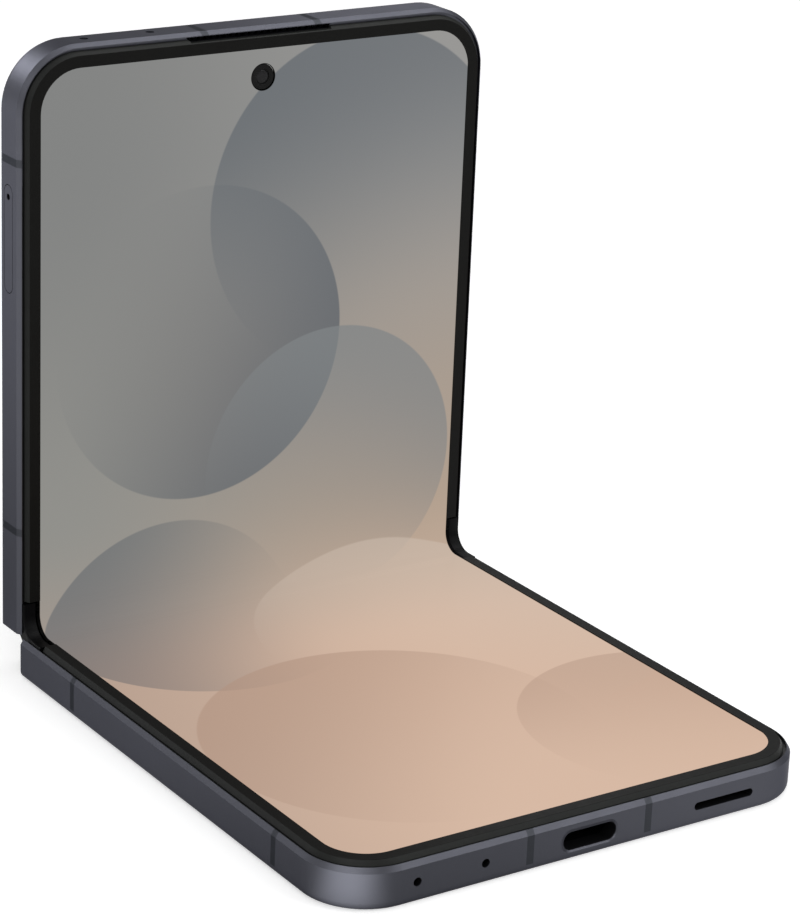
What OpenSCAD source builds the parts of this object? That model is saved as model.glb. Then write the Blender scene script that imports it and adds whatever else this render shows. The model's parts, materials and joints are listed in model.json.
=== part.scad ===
// Foldable smartphone: two halves of a flat clamshell, a double-axis hinge between them and one
// flexible display across both. Shown half open, lower half lying flat, upper half standing.
// Every half is drawn in the flat, unfolded attitude: x across, y = 0 on the fold, the half running
// towards -y, z = 0 on its back. The upper half is the mirror of that, turned about the hinge axes.

/* [Body] */
// Width across the hinge
width = 75.2; // [70:0.1:82]
// Length of one half, from the fold to its far end
half_length = 84; // [80:0.1:92]
// Radius of the outer corners, seen from the front
corner_r = 9; // [7:0.5:12]
// Rounding between the side and the back
back_edge_r = 1.2; // [0.8:0.1:1.4]
// Thickness of the side rail's wall
rail_wall = 2.2; // [2:0.1:2.4]
// Height of the rail's top edge above the back
rail_top = 5.9; // [5.8:0.05:6.1]
// Width of the bevel along the rail's top edge
rail_bevel_w = 0.45; // [0.3:0.05:0.5]
// Height of the same bevel
rail_bevel_h = 0.7; // [0.5:0.05:0.9]
// Distance from the fold to the ends of the side rails
rail_gap = 0.4; // [0.3:0.05:0.6]
// Thickness of the glass on the back
glass_t = 0.6; // [0.5:0.05:0.65]
// Width of an antenna break in the rail
break_w = 1.1; // [0.8:0.1:1.4]

/* [Display] */
// Height of the display's surface above the back
screen_z = 6.35; // [6.3:0.05:6.5]
// Thickness of the folding display
screen_t = 0.75; // [0.6:0.05:0.8]
// Distance from the fold over which the display bends
bend_zone = 5; // [5:0.1:5.4]
// Inside radius of the bend with the phone half open
bend_r = 2.9; // [2.7:0.1:3]
// Distance from the outer edge to the inner edge of the trim
bezel_w = 3.03; // [2.9:0.01:3.3]
// Height of the trim above the display's surface
trim_proud = 0.15; // [0.1:0.05:0.25]
// Distance from the fold to the ends of the trim
trim_start = 5.3; // [5.1:0.1:6]
// Diameter of the hole for the front camera
front_camera_d = 3.7; // [3.4:0.1:4.2]
// Distance from the far end to the front camera's centre
front_camera_l = 7.05; // [6.9:0.05:8]

/* [Hinge] */
// Distance of each virtual hinge axis from the fold
axis_y = 1.5; // [1.45:0.01:1.55]
// Height of both virtual hinge axes above the back
axis_z = 5.35; // [5.3:0.01:5.4]
// Angle of the rest attitude between the halves
open_angle = 90; // [60:5:120]
// Radius of the spine's rounded edges about the hinge axes
spine_r = 4.3; // [4.2:0.05:4.35]
// Thickness of the spine's wall
spine_wall = 0.4; // [0.35:0.05:0.45]
// Height of the spine's flat outside above the back
spine_z = 1.3; // [1.2:0.05:1.4]
// Height of the spine's side walls above the back
spine_top = 3.95; // [3.8:0.05:4]
// Length of the hinge bay in each half
bay_l = 6.4; // [6.2:0.1:6.6]
// Inside radius of the curved hinge arms
arm_r = 2.35; // [2.3:0.05:2.4]
// Thickness of the curved hinge arms
arm_t = 0.7; // [0.6:0.05:0.75]
// Width of the curved hinge arms
arm_w = 2.4; // [2:0.1:2.5]
// Thickness of the brackets' cheeks
cheek_t = 1; // [0.8:0.1:1.1]
// Gear module of the synchronising train
gear_m = 0.136; // [0.134:0.001:0.137]
// Height of the sync arms' shafts above the back
shaft_z = 3.75; // [3.7:0.05:3.8]
// Diameter of the gear shafts
shaft_d = 0.6; // [0.5:0.05:0.65]
// Swing of the wing plates from open flat to closed
wing_swing = 12; // [11:0.5:13]

/* [Ports and keys] */
// Width of the USB-C opening
usb_w = 8.34; // [8.3:0.02:8.5]
// Height of the USB-C opening
usb_h = 2.56; // [2.5:0.02:2.6]
// Height of the ports' centre line above the back
port_z = 2.9; // [2.8:0.05:3]
// Length of the SIM tray's face
tray_l = 15.1; // [14.6:0.1:16]
// Distance from the far end to the middle of the SIM tray
tray_end = 26.55; // [24:0.05:28]
// Height of the SIM tray's face
tray_h = 2.3; // [2.1:0.05:2.5]
// Reach of the SIM tray into the body
tray_reach = 20; // [18:0.5:22]
// Length of the volume key
volume_l = 17; // [15:0.5:19]
// Distance from the far end to the middle of the volume key
volume_end = 26; // [25:0.5:28]
// Length of the power key
power_l = 13; // [11:0.5:15]
// Distance from the far end to the middle of the power key
power_end = 45; // [42:0.5:50]
// Height of both side keys across the rail
key_h = 2.2; // [2:0.1:2.4]
// How far the volume key stands out of the rail
key_proud = 0.35; // [0.2:0.05:0.5]
// Diameter of the microphone holes
mic_d = 1.2; // [1:0.1:1.3]

/* [Rear cameras] */
// Outside diameter of the rings round the rear lenses
lens_ring_d = 14; // [13:0.5:14.5]
// Distance between the two rear lenses
lens_pitch = 16.4; // [15.5:0.1:18]
// Distance from the middle of the phone to the middle of the lens pair
lens_mid = 18.2; // [17:0.1:19]
// How far the rings stand out of the back
lens_proud = 1; // [0.6:0.1:1.4]

/* [Clearances] */
// Gap round a glass, display or trim in its recess
seat_gap = 0.05; // [0.03:0.01:0.08]
// Radial gap of shafts in gears and of arms in their tracks
run_gap = 0.05; // [0.03:0.01:0.06]
// Side gap beside hinge arms and gears
side_gap = 0.15; // [0.1:0.05:0.2]
// Gap round the keys and the SIM tray
key_gap = 0.1; // [0.08:0.01:0.15]

/* [Hidden] */

smooth = 96;                        // facets in the preview of a large round
fine = 48;                          // facets in the preview of a small round
eps = 0.5;                          // overshoot of a cut past the face it opens

half_w = width / 2;
half_fold = open_angle / 2;         // turn of the spine about the lower half at rest
rest_y = half_length / 2;           // puts the origin in the middle of the lower back

screen_back = screen_z - screen_t;
plate_t = 0.2;                      // steel plate behind the display
deck_z = screen_back - plate_t;     // top of the frame's deck
deck_t = 0.5;
deck_under = deck_z - deck_t;       // the inner parts hang from here
lip_flat_w = 0.1;
lip_w = rail_bevel_w + lip_flat_w;  // top edge of the rail, outside the groove
groove_w = 0.4;                     // dark groove between rail and trim
trim_out = lip_w + groove_w;        // inset of the trim's outer face
trim_slope_w = 0.47;
trim_slope_h = 0.7;
trim_lip_t = 0.12;                  // edge of the trim that laps over the display
trim_lap = 0.5;
glass_edge = back_edge_r + seat_gap;
panel_edge = bezel_w - trim_lap + seat_gap;

bay_wall = 1;                       // rail wall beside the hinge bay
bay_floor_t = 0.3;
bay_floor = glass_t + bay_floor_t;
flange_reach = 7.1;
flange_off = 1.6;
flange_l = bay_l + flange_reach;    // far edge of the hinge arms' flange
flange_near = bay_l + flange_off;
ledge_z = 4.1;                      // the flange lies on this ledge
channel_w = 18;                     // free width in the middle for the ribbon cable
bar_z = 4.2;                        // underside of the arms where they cross the spine's wall
bar_top = deck_under;

spine_end = half_w - bay_wall - 1;  // outer face of the spine's end caps
cap_t = 0.7;
spine_inner_r = spine_r - spine_wall;
spine_floor_t = 0.35;
spine_floor = spine_z + spine_floor_t;
bracket_top = 3.65;                 // kept clear of the display when it is folded shut
hump_top = 4.3;                     // the cheeks rise here to carry the outer shafts
hump_y = 2.5;
arm_out = arm_r + arm_t;
arm_from = 195;                     // span of a curved arm with the phone open flat
arm_to = 322;

gear_teeth = 10;
gear_pitch_r = gear_m * gear_teeth / 2;
addendum = 0.8;                     // heights of a tooth outside and inside the pitch circle
dedendum = 1.2;
pressure_angle = 20;
backlash = 1.6;                     // angle taken off each flank
gear_tip_r = gear_pitch_r + addendum * gear_m;
gear_root_r = gear_pitch_r - dedendum * gear_m;
gear_base_r = gear_pitch_r * cos(pressure_angle);
tooth_half = 90 / gear_teeth - backlash;
outer_shaft_off = 1.06;             // the outer shafts lie above and outside the idlers
outer_shaft_y = 3 * gear_pitch_r + outer_shaft_off;
gear_w = 2.2;
idler_z = shaft_z - sqrt(pow(2 * gear_pitch_r, 2) - pow(outer_shaft_off, 2));
// Places of the six gears across the spine, from the lower half to the upper one
gear_y = [-outer_shaft_y, -3 * gear_pitch_r, -gear_pitch_r,
    gear_pitch_r, 3 * gear_pitch_r, outer_shaft_y];
gear_z = [shaft_z, idler_z, idler_z, idler_z, idler_z, shaft_z];
sync_t = 1.2;                       // width of a sync arm
sync_top = 4.75;
sync_dip = 3.2;                     // lowest place of a sync arm inside its half
sync_reach = 7.6;                   // from its shaft to the tip of a sync arm
sync_pocket_reach = 5.2;
sync_pocket_l = bay_l + sync_pocket_reach;

// A hinge module from its outer end inwards: bay widths between cheeks
arm_bay = arm_w + 2 * side_gap;
sync_bay = sync_t + gear_w + 3 * side_gap;
disc_bay = 3.6;
module_gap = 1.5;                   // from an end cap to the first cheek
module_x = spine_end - cap_t - module_gap;
lower_arm_x = module_x - cheek_t;
upper_arm_x = lower_arm_x - arm_bay - cheek_t;
sync_x = upper_arm_x - arm_bay - cheek_t;
disc_x = sync_x - sync_bay - cheek_t;
module_in = disc_x - disc_bay - cheek_t;
gear_x = sync_x - side_gap - gear_w;
sync_arm_x = gear_x - side_gap - sync_t;

ribbon_w = 14;
ribbon_t = 0.15;
ribbon_depth = 2.6;                 // depth of the ribbon cable below the display's surface
ribbon_z = screen_z - ribbon_depth - ribbon_t;

wing_z = 5.2;
wing_gap = 0.1;                     // between a wing plate and the display above it
wing_t = screen_back - wing_z - wing_gap;
wing_near = 1.1;
wing_far = 7.6;
// Inner faces of the ears that hold a wing plate's pins
wing_ear_off = 0.5;
wing_ear_side = 4.6;
wing_ear_x = [channel_w / 2 + wing_ear_off, half_w - wing_ear_side];
wing_ear_w = 1;
wing_pin_d = 0.6;
wing_axis_l = 7.3;
wing_axis_z = 5;
wing_end = 6.5;                     // the windows over the arms reach this far

lens_off = 4.6;                     // the rear lenses lie this far below the front camera
lens_y = front_camera_l + lens_off;
lens_x = [lens_mid + lens_pitch / 2, lens_mid - lens_pitch / 2];
flash_pitch = 10.5;
flash_x = lens_x[1] - flash_pitch;
flash_d = 3.2;
cover_display_gap = 1.7;            // black border round the cover display

tray_pos = half_length - tray_end;  // places of the side's fittings, from the fold
volume_pos = half_length - volume_end;
power_pos = half_length - power_end;

module lower_half()
{
    translate([0, rest_y, 0]) children();
}

module spine_frame()
{
    translate([0, rest_y - axis_y, axis_z]) rotate([half_fold, 0, 0])
        translate([0, axis_y, -axis_z]) children();
}

module upper_half()
{
    spine_frame() translate([0, axis_y, axis_z]) rotate([half_fold, 0, 0])
        translate([0, -axis_y, -axis_z]) mirror([0, 1, 0]) children();
}

// Plan of one half, inset from the outer face, from a distance off the fold to the far end
module half_plan(inset, start)
{
    r = corner_r - inset;
    w = half_w - inset;
    far = half_length - inset;
    translate([-w, r - far]) square([2 * w, far - r - start]);
    translate([r - w, -far]) square([2 * (w - r), r + 1]);
    for (side = [-1, 1])
        translate([side * (w - r), r - far]) circle(r, $fn = smooth);
}

module half_slab(inset, start, z, t)
{
    translate([0, 0, z]) linear_extrude(t) half_plan(inset, start);
}

// A stretch of a rim profile along the right side; x = 0 is the outer face
module rim_side(start, end)
{
    translate([half_w, -start, 0]) rotate([90, 0, 0]) linear_extrude(end - start) children();
}

module rim_end(x_from, x_to)
{
    translate([0, -half_length, 0]) rotate([0, 0, -90]) translate([0, -x_from, 0])
        rotate([90, 0, 0]) linear_extrude(x_to - x_from) children();
}

// A rim profile swept along both sides, the two corners and the far end
module rim_sweep(start)
{
    for (side = [0, 1])
        mirror([side, 0, 0])
        {
            rim_side(start, half_length - corner_r) children();
            translate([half_w - corner_r, corner_r - half_length, 0]) rotate([0, 0, -90])
                rotate_extrude(angle = 90, $fn = smooth) translate([corner_r, 0]) children();
        }
    rim_end(corner_r - half_w, half_w - corner_r) children();
}

module rounded_corner(r)
{
    difference()
    {
        translate([-r, 0]) square(r);
        translate([-r, r]) circle(r, $fn = fine);
    }
}

// Section of the rail: bevelled top edge, groove floor inside it, ledge for the back glass
module rail_section(wall)
{
    difference()
    {
        polygon([[-back_edge_r, 0], [0, 0], [0, rail_top - rail_bevel_h],
            [-rail_bevel_w, rail_top], [-lip_w, rail_top], [-lip_w, deck_z], [-wall, deck_z],
            [-wall, glass_t], [-back_edge_r, glass_t]]);
        rounded_corner(back_edge_r);
    }
}

module trim_section()
{
    inner = -bezel_w;
    top = screen_z + trim_proud;
    polygon([[-trim_out, deck_z], [-trim_out, top - trim_slope_h],
        [-trim_out - trim_slope_w, top], [inner, top], [inner, top - trim_lip_t],
        [inner + trim_lap, top - trim_lip_t], [inner + trim_lap, deck_z]]);
}

// Section drawn in the y-z plane and pushed along x
module along_x(x, w)
{
    translate([x, 0, 0]) rotate([90, 0, 90]) linear_extrude(w) children();
}

module block(x, y, z)
{
    translate([x[0], y[0], z[0]]) cube([x[1] - x[0], y[1] - y[0], z[1] - z[0]]);
}

// Slot with round ends, its length along x, pushed along y through the far end rail
module end_slot(x, z, w, h, depth)
{
    translate([x, -half_length - eps, z]) rotate([-90, 0, 0]) linear_extrude(depth + eps)
    {
        square([w - h, h], center = true);
        for (side = [-1, 1])
            translate([side * (w - h) / 2, 0]) circle(h / 2, $fn = fine);
    }
}

module end_hole(x, z, d, depth)
{
    translate([x, -half_length - eps, z]) rotate([-90, 0, 0])
        cylinder(d = d, h = depth + eps, $fn = fine);
}

/* Frames */

near_break = 15.7;                  // side breaks: one from the fold, one from the far end
far_break = 15.5;
side_breaks = [near_break, half_length - far_break];
lower_end_break = 9.3;
upper_end_break = 9.1;
break_depth = lip_w;

module break_places(end_x)
{
    for (side = [0, 1])
        mirror([side, 0, 0])
            for (place = side_breaks)
                rim_side(place - break_w / 2, place + break_w / 2) children();
    for (side = [-1, 1])
        rim_end(side * end_x - break_w / 2, side * end_x + break_w / 2) children();
}

module antenna_breaks(end_x)
{
    break_places(end_x) intersection()
    {
        rail_section(rail_wall);
        translate([-break_depth, back_edge_r]) square([break_depth + 1, rail_top]);
    }
}

deck_lap = 0.4;
ledge_over = 0.8;
battery_off = 3;                    // from the flange's far edge to the battery
ribbon_gap = 0.1;
module frame_blank(end_x)
{
    ledge_w = half_w - bay_wall;
    difference()
    {
        union()
        {
            rim_sweep(rail_gap) rail_section(rail_wall);
            half_slab(rail_wall - deck_lap, flange_l + seat_gap, deck_under, deck_t);
            block([-ledge_w, ledge_w], [-flange_l - ledge_over, -bay_l], [glass_t, ledge_z]);
            block([-ledge_w, ledge_w], [-bay_l - eps, -rail_gap], [glass_t, bay_floor]);
        }
        block([-ledge_w, ledge_w], [-bay_l, eps], [bay_floor, screen_z]);
        break_places(end_x)
            translate([-break_depth, back_edge_r]) square([break_depth + 1, rail_top]);
        sync_pockets();
        flange_screw_places() cylinder_from(screw_bottom, screen_z, screw_d);
        block([-channel_w / 2, channel_w / 2], [-flange_l - battery_off, -bay_l + eps],
            [ribbon_z - ribbon_gap, deck_z + eps]);
    }
}

// Room in a half for the tips of its sync arms, which slide and dip as the hinge turns
module sync_pockets()
{
    for (side = [0, 1])
        mirror([side, 0, 0])
            block([sync_arm_x - side_gap, sync_arm_x + sync_t + side_gap],
                [-sync_pocket_l, -bay_l + eps], [sync_dip, bar_top]);
}

screw_side = [4.6, 10];             // outer screws from the side, inner ones from the channel
screw_off = [7, 2];
screw_inset = 1.3;                  // from the flange's far edge
flange_screw_x = [half_w - screw_side[0], half_w - screw_side[1],
    channel_w / 2 + screw_off[0], channel_w / 2 + screw_off[1]];
module flange_screw_places()
{
    for (side = [-1, 1])
        for (x = flange_screw_x)
            translate([side * x, screw_inset - flange_l, 0]) children();
}

lower_mic_side = [11.3, 21.5];      // microphones and speaker, from the outer side
upper_mic_side = [11.35, 21.5];
speaker_side = 15.85;
lower_mics = lower_mic_side - [half_w, half_w];
upper_mics = upper_mic_side - [half_w, half_w];
lower_mic_z = 3.05;
upper_mic_z = 2.9;
speaker_x = half_w - speaker_side;
speaker_w = 9.7;
speaker_h = 1.1;

module lower_frame()
{
    color([0.27, 0.28, 0.32]) lower_half() difference()
    {
        frame_blank(lower_end_break);
        end_slot(0, port_z, usb_w, usb_h, rail_wall + eps);
        end_slot(speaker_x, port_z, speaker_w, speaker_h, rail_wall + eps);
        for (x = lower_mics) end_hole(x, lower_mic_z, mic_d, rail_wall + eps);
    }
}

module lower_antenna_breaks()
{
    color([0.2, 0.2, 0.23]) lower_half() antenna_breaks(lower_end_break);
}

camera_bore_d = front_camera_d + 1;
key_slot = key_h + 2 * key_gap;

module upper_frame()
{
    color([0.27, 0.28, 0.32]) upper_half() difference()
    {
        frame_blank(upper_end_break);
        for (x = upper_mics) end_hole(x, upper_mic_z, mic_d, rail_wall + eps);
        translate([0, front_camera_l - half_length, deck_under - eps])
            cylinder(d = camera_bore_d, h = deck_t + 2 * eps, $fn = fine);
        tray_opening();
        key_opening(volume_pos, volume_l);
        key_opening(power_pos, power_l);
        earpiece_slot(0, screen_z);
    }
}

module upper_antenna_breaks()
{
    color([0.2, 0.2, 0.23]) upper_half() antenna_breaks(upper_end_break);
}

// Earpiece slot: it takes in the groove and the outer slope of the trim, and its ends slant
earpiece_w = 23.4;
earpiece_x = -0.25;
earpiece_h = 0.9;
earpiece_in = 1.3;
earpiece_slant = 0.45;
earpiece_mesh_h = 0.7;
earpiece_holes = 22;
earpiece_hole_w = 0.6;
earpiece_hole_rim = 0.15;
module earpiece_slot(gap, h)
{
    wide = earpiece_w / 2 - gap;
    narrow = wide - earpiece_slant;
    translate([earpiece_x, -half_length, deck_z - earpiece_h]) linear_extrude(h)
        polygon([[-wide, lip_w + gap], [wide, lip_w + gap],
            [narrow, earpiece_in - gap], [-narrow, earpiece_in - gap]]);
}

module earpiece_mesh()
{
    pitch = earpiece_w / (earpiece_holes + 1);
    color([0.1, 0.1, 0.11]) upper_half() difference()
    {
        earpiece_slot(seat_gap, earpiece_mesh_h);
        for (i = [1:earpiece_holes])
            translate([earpiece_x - earpiece_w / 2 + i * pitch, -half_length, 0])
                block([-earpiece_hole_w / 2, earpiece_hole_w / 2],
                    [lip_w + earpiece_hole_rim, earpiece_in - earpiece_hole_rim],
                    [0, screen_z]);
    }
}

/* Trim, glass and display */

module bezel_trim()
{
    rim_sweep(trim_start) trim_section();
}

module lower_bezel_trim()
{
    color([0.1, 0.1, 0.1]) lower_half() bezel_trim();
}

module upper_bezel_trim()
{
    color([0.1, 0.1, 0.1]) upper_half() difference()
    {
        bezel_trim();
        earpiece_slot(0, screen_z);
    }
}

glass_near = 0.12;                  // from the fold to the edge of the back glass
through = 20;                       // longer than any hole is deep
module lower_back_glass()
{
    color([0.13, 0.14, 0.17]) lower_half() half_slab(glass_edge, glass_near, 0, glass_t);
}

module cover_glass()
{
    color([0.03, 0.03, 0.04]) upper_half() difference()
    {
        half_slab(glass_edge, glass_near, 0, glass_t);
        for (x = lens_x) rear_lens(x) cylinder(d = ring_seat_d, h = through, center = true,
            $fn = fine);
        rear_lens(flash_x) cylinder(d = flash_d, h = through, center = true, $fn = fine);
    }
}

cover_near = 1.6;
cover_display_t = 0.25;
camera_margin = [3, 9.5];           // free of display beside the flash and below the lenses
module cover_display()
{
    color([0.02, 0.02, 0.03]) upper_half() difference()
    {
        half_slab(glass_edge + cover_display_gap, flange_l + cover_near, glass_t, cover_display_t);
        block([flash_x - camera_margin[0], half_w],
            [-half_length, lens_y + camera_margin[1] - half_length], [0, screen_z]);
    }
}

module display_panel()
{
    half_slab(panel_edge, bend_zone, screen_back, screen_t);
}

module lower_display_panel()
{
    color([0.8, 0.7, 0.6]) lower_half() display_panel();
}

module upper_display_panel()
{
    color([0.55, 0.55, 0.54]) upper_half() difference()
    {
        display_panel();
        front_camera_place() cylinder(d = front_camera_d, h = through, center = true, $fn = fine);
    }
}

plate_inset = 0.2;
plate_gap = 0.4;
module display_plate()
{
    half_slab(panel_edge + plate_inset, wing_far + plate_gap, deck_z, plate_t);
}

module lower_display_plate()
{
    color([0.45, 0.45, 0.47]) lower_half() display_plate();
}

module upper_display_plate()
{
    color([0.45, 0.45, 0.47]) upper_half() difference()
    {
        display_plate();
        front_camera_place() cylinder(d = camera_bore_d, h = through, center = true, $fn = fine);
    }
}

module front_camera_place()
{
    translate([0, front_camera_l - half_length, 0]) children();
}

// The bend at rest, in the spine's frame: where the planes of the two display halves would cross,
// the centre line of the round between them, and where that round begins on each half
screen_over_axis = screen_z - axis_z;
cross_l = axis_y + (screen_over_axis * sin(half_fold) - axis_y) / cos(half_fold);
cross_z = axis_z + screen_over_axis * cos(half_fold)
    + (screen_over_axis * sin(half_fold) - axis_y) * tan(half_fold);
bend_z = cross_z + bend_r / cos(half_fold);
bend_l = cross_l + bend_r * tan(half_fold);

// Ring sector in the y-z plane between two radii and two angles
module sector(r_in, r_out, from, to)
{
    steps = ceil((to - from) / 30);
    reach = r_out * 1.5;
    intersection()
    {
        difference()
        {
            circle(r_out, $fn = smooth);
            circle(r_in, $fn = smooth);
        }
        polygon(concat([[0, 0]], [for (i = [0:steps])
            reach * [cos(from + (to - from) * i / steps), sin(from + (to - from) * i / steps)]]));
    }
}

// Strip that follows the display through its bend: depth below the surface, and where it ends
module bent_strip(x, w, depth, t, end_l)
{
    spine_frame() along_x(x, w)
    {
        translate([0, bend_z])
            sector(bend_r + depth, bend_r + depth + t, 270 - half_fold, 270 + half_fold);
        for (side = [0, 1])
            mirror([side, 0]) translate([-axis_y, axis_z]) rotate(-half_fold)
                translate([axis_y - end_l, screen_over_axis - depth - t])
                    square([end_l - bend_l, t]);
    }
}

fold_gap = 0.02;
module display_fold()
{
    w = half_w - panel_edge;
    color([0.65, 0.6, 0.56]) bent_strip(-w, 2 * w, 0, screen_t, bend_zone - fold_gap);
}

cap_strip_w = 1.1;
cap_strip_t = 0.4;
cap_strip_depth = 0.1;
module fold_edge_caps()
{
    x = half_w - panel_edge + seat_gap;
    color([0.06, 0.06, 0.06])
        for (left = [-x - cap_strip_w, x])
            bent_strip(left, cap_strip_w, cap_strip_depth, cap_strip_t, bend_zone);
}

module fold_ribbon_cable()
{
    color([0.75, 0.55, 0.2])
        bent_strip(-ribbon_w / 2, ribbon_w, ribbon_depth, ribbon_t, flange_l + 2);
}

/* Hinge */

// Section of the spine's outside, inset by a wall, up to a height
module spine_section(r, bottom, top)
{
    intersection()
    {
        union()
        {
            for (side = [-1, 1])
                translate([side * axis_y, axis_z]) circle(r, $fn = smooth);
            translate([-axis_y, axis_z - r]) square([2 * axis_y, r]);
        }
        translate([-2 * r, bottom]) square([4 * r, top - bottom]);
    }
}

module hinge_spine()
{
    inner_end = spine_end - cap_t;
    color([0.25, 0.26, 0.3]) spine_frame() along_x(-inner_end, 2 * inner_end) difference()
    {
        spine_section(spine_r, spine_z, spine_top);
        spine_section(spine_inner_r, spine_floor, spine_top + 1);
    }
}

module spine_end_caps()
{
    plug_t = 0.8;
    plug_drop = 0.6;
    color([0.22, 0.23, 0.26]) spine_frame()
        for (side = [0, 1])
            mirror([side, 0, 0])
            {
                along_x(spine_end - cap_t, cap_t) spine_section(spine_r, spine_z, spine_top);
                along_x(spine_end - cap_t - plug_t, plug_t)
                    spine_section(spine_inner_r - seat_gap, spine_floor, spine_top - plug_drop);
            }
}

// Both modules are the same, mirrored across the middle of the hinge
module both_modules()
{
    for (side = [0, 1])
        mirror([side, 0, 0]) children();
}

module shaft_places(which)
{
    for (i = which)
        translate([0, gear_y[i], gear_z[i]]) rotate([0, 90, 0]) children();
}

module bracket_section()
{
    r = spine_inner_r - seat_gap;
    spine_section(r, spine_floor, bracket_top);
    for (side = [0, 1])
        mirror([side, 0])
            intersection()
            {
                spine_section(r, spine_floor, hump_top);
                translate([hump_y, spine_floor]) square([2 * hump_y, hump_top]);
            }
}

// Solid cheeks between the bays, and blocks that guide the curved arms in ring-shaped tracks
module hinge_brackets()
{
    color([0.6, 0.6, 0.62]) spine_frame() both_modules() difference()
    {
        along_x(module_in, module_x - module_in) bracket_section();
        arm_track(lower_arm_x - arm_bay, 1);
        arm_track(upper_arm_x - arm_bay, -1);
        bay_cut(sync_x - sync_bay, sync_bay);
        bay_cut(disc_x - disc_bay, disc_bay);
        for (i = [0:5])
            translate([module_in - eps, gear_y[i], gear_z[i]]) rotate([0, 90, 0])
                cylinder(d = shaft_d, h = sync_x + cheek_t - module_in + eps, $fn = fine);
        bracket_screw_places() bracket_screw();
    }
}

module bay_cut(x, w)
{
    along_x(x, w) translate([-2 * spine_r, spine_floor]) square([4 * spine_r, spine_r]);
}

module arm_track(x, side)
{
    along_x(x, arm_bay) translate([-side * axis_y, axis_z])
        difference()
        {
            circle(arm_out + run_gap, $fn = smooth);
            circle(arm_r - run_gap, $fn = smooth);
        }
    along_x(x, arm_bay) translate([-side * spine_r * 1.5 - spine_r, bar_z - 0.5])
        square([2 * spine_r, spine_r]);
}

bracket_screw_z = spine_floor + 0.4;
bracket_screw_x = [lower_arm_x + cheek_t / 2, sync_x + cheek_t / 2, module_in + cheek_t / 2];
module bracket_screw_places()
{
    for (x = bracket_screw_x)
        translate([x, 0, bracket_screw_z]) children();
}

module bracket_screw()
{
    head_d = 0.9;
    head_h = 0.3;
    reach = bracket_top - bracket_screw_z;
    cylinder(d = 0.6, h = reach, $fn = fine);
    translate([0, 0, reach - head_h]) cylinder(d = head_d, h = head_h, $fn = fine);
}

module bracket_screws()
{
    color([0.7, 0.7, 0.72]) spine_frame() both_modules() bracket_screw_places() bracket_screw();
}

module gear_shafts()
{
    color([0.8, 0.8, 0.82]) spine_frame() both_modules()
        for (i = [0:5])
            translate([module_in, gear_y[i], gear_z[i]]) rotate([0, 90, 0])
                cylinder(d = shaft_d, h = sync_x + cheek_t - module_in, $fn = fine);
}

// Stacks of friction discs on the sync arms' shafts hold the phone at any angle
disc_count = 6;
disc_fill = 0.8;                    // share of a disc's pitch that the disc fills
disc_step = 0.06;                   // every second disc is this much larger
module friction_discs()
{
    pitch = disc_bay / disc_count;
    color([0.65, 0.6, 0.45]) spine_frame() both_modules()
        for (i = [0, 5])
            for (k = [0:disc_count - 1])
                translate([disc_x - disc_bay + (k + (1 - disc_fill) / 2) * pitch,
                    gear_y[i], gear_z[i]])
                    rotate([0, 90, 0]) difference()
                    {
                        cylinder(r = gear_pitch_r + disc_step * (k % 2), h = pitch * disc_fill,
                            $fn = fine);
                        translate([0, 0, -1]) cylinder(d = shaft_d, h = 3, $fn = fine);
                    }
}

// Involute tooth: its half-angle at a radius, from the half-angle at the pitch circle
function inv(a) = tan(a) * 180 / PI - a;
function pressure(r) = acos(gear_base_r / r);
function tooth_angle(r) = tooth_half + inv(pressure_angle) - inv(pressure(r));
tooth_steps = 3;
tooth_radii = [for (i = [0:tooth_steps])
    gear_base_r + (gear_tip_r - gear_base_r) * i / tooth_steps];

// Outline of a gear, one tooth pointing along +x when turn = 0
module gear_outline(turn)
{
    pitch = 360 / gear_teeth;
    root_half = tooth_angle(gear_base_r);
    polygon([for (i = [0:gear_teeth - 1]) each concat(
        [polar(gear_root_r, turn + i * pitch - root_half)],
        [for (r = tooth_radii) polar(r, turn + i * pitch - tooth_angle(r))],
        [for (k = [0:tooth_steps]) polar(tooth_radii[tooth_steps - k],
            turn + i * pitch + tooth_angle(tooth_radii[tooth_steps - k]))],
        [polar(gear_root_r, turn + i * pitch + root_half)])]);
}

function polar(r, a) = r * [cos(a), sin(a)];

// Each gear is turned to mesh with the one before it along the line between their centres
function mesh_line(i) = atan2(gear_z[i + 1] - gear_z[i], gear_y[i + 1] - gear_y[i]);
function gear_turn(i) = i == 0 ? mesh_line(0)
    : 2 * mesh_line(i - 1) + 180 + 180 / gear_teeth - gear_turn(i - 1);

module gear(i)
{
    spine_frame() both_modules() along_x(gear_x, gear_w) translate([gear_y[i], gear_z[i]])
        difference()
        {
            gear_outline(gear_turn(i));
            circle(shaft_d / 2 + run_gap, $fn = fine);
        }
}

module idler_gears_a()
{
    color([0.75, 0.72, 0.6]) gear(1);
}

module idler_gears_b()
{
    color([0.8, 0.77, 0.65]) gear(2);
}

module idler_gears_c()
{
    color([0.75, 0.72, 0.6]) gear(3);
}

module idler_gears_d()
{
    color([0.8, 0.77, 0.65]) gear(4);
}

// Sync arm with the phone open flat: a hub on the shaft and a bar over the spine's wall
sync_hub = 0.6;
hub_over = 0.12;                    // the hub's radius over the root of its gear
module sync_arm_flat(i, side)
{
    both_modules() along_x(sync_arm_x, sync_t) translate([gear_y[i], gear_z[i]])
        scale([side, 1]) difference()
        {
            union()
            {
                circle(gear_root_r + hub_over, $fn = fine);
                translate([0, bar_z - gear_z[i]]) square([sync_reach, sync_top - bar_z]);
                square([sync_hub, sync_top - gear_z[i]]);
            }
            circle(shaft_d / 2 + run_gap, $fn = fine);
        }
}

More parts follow.
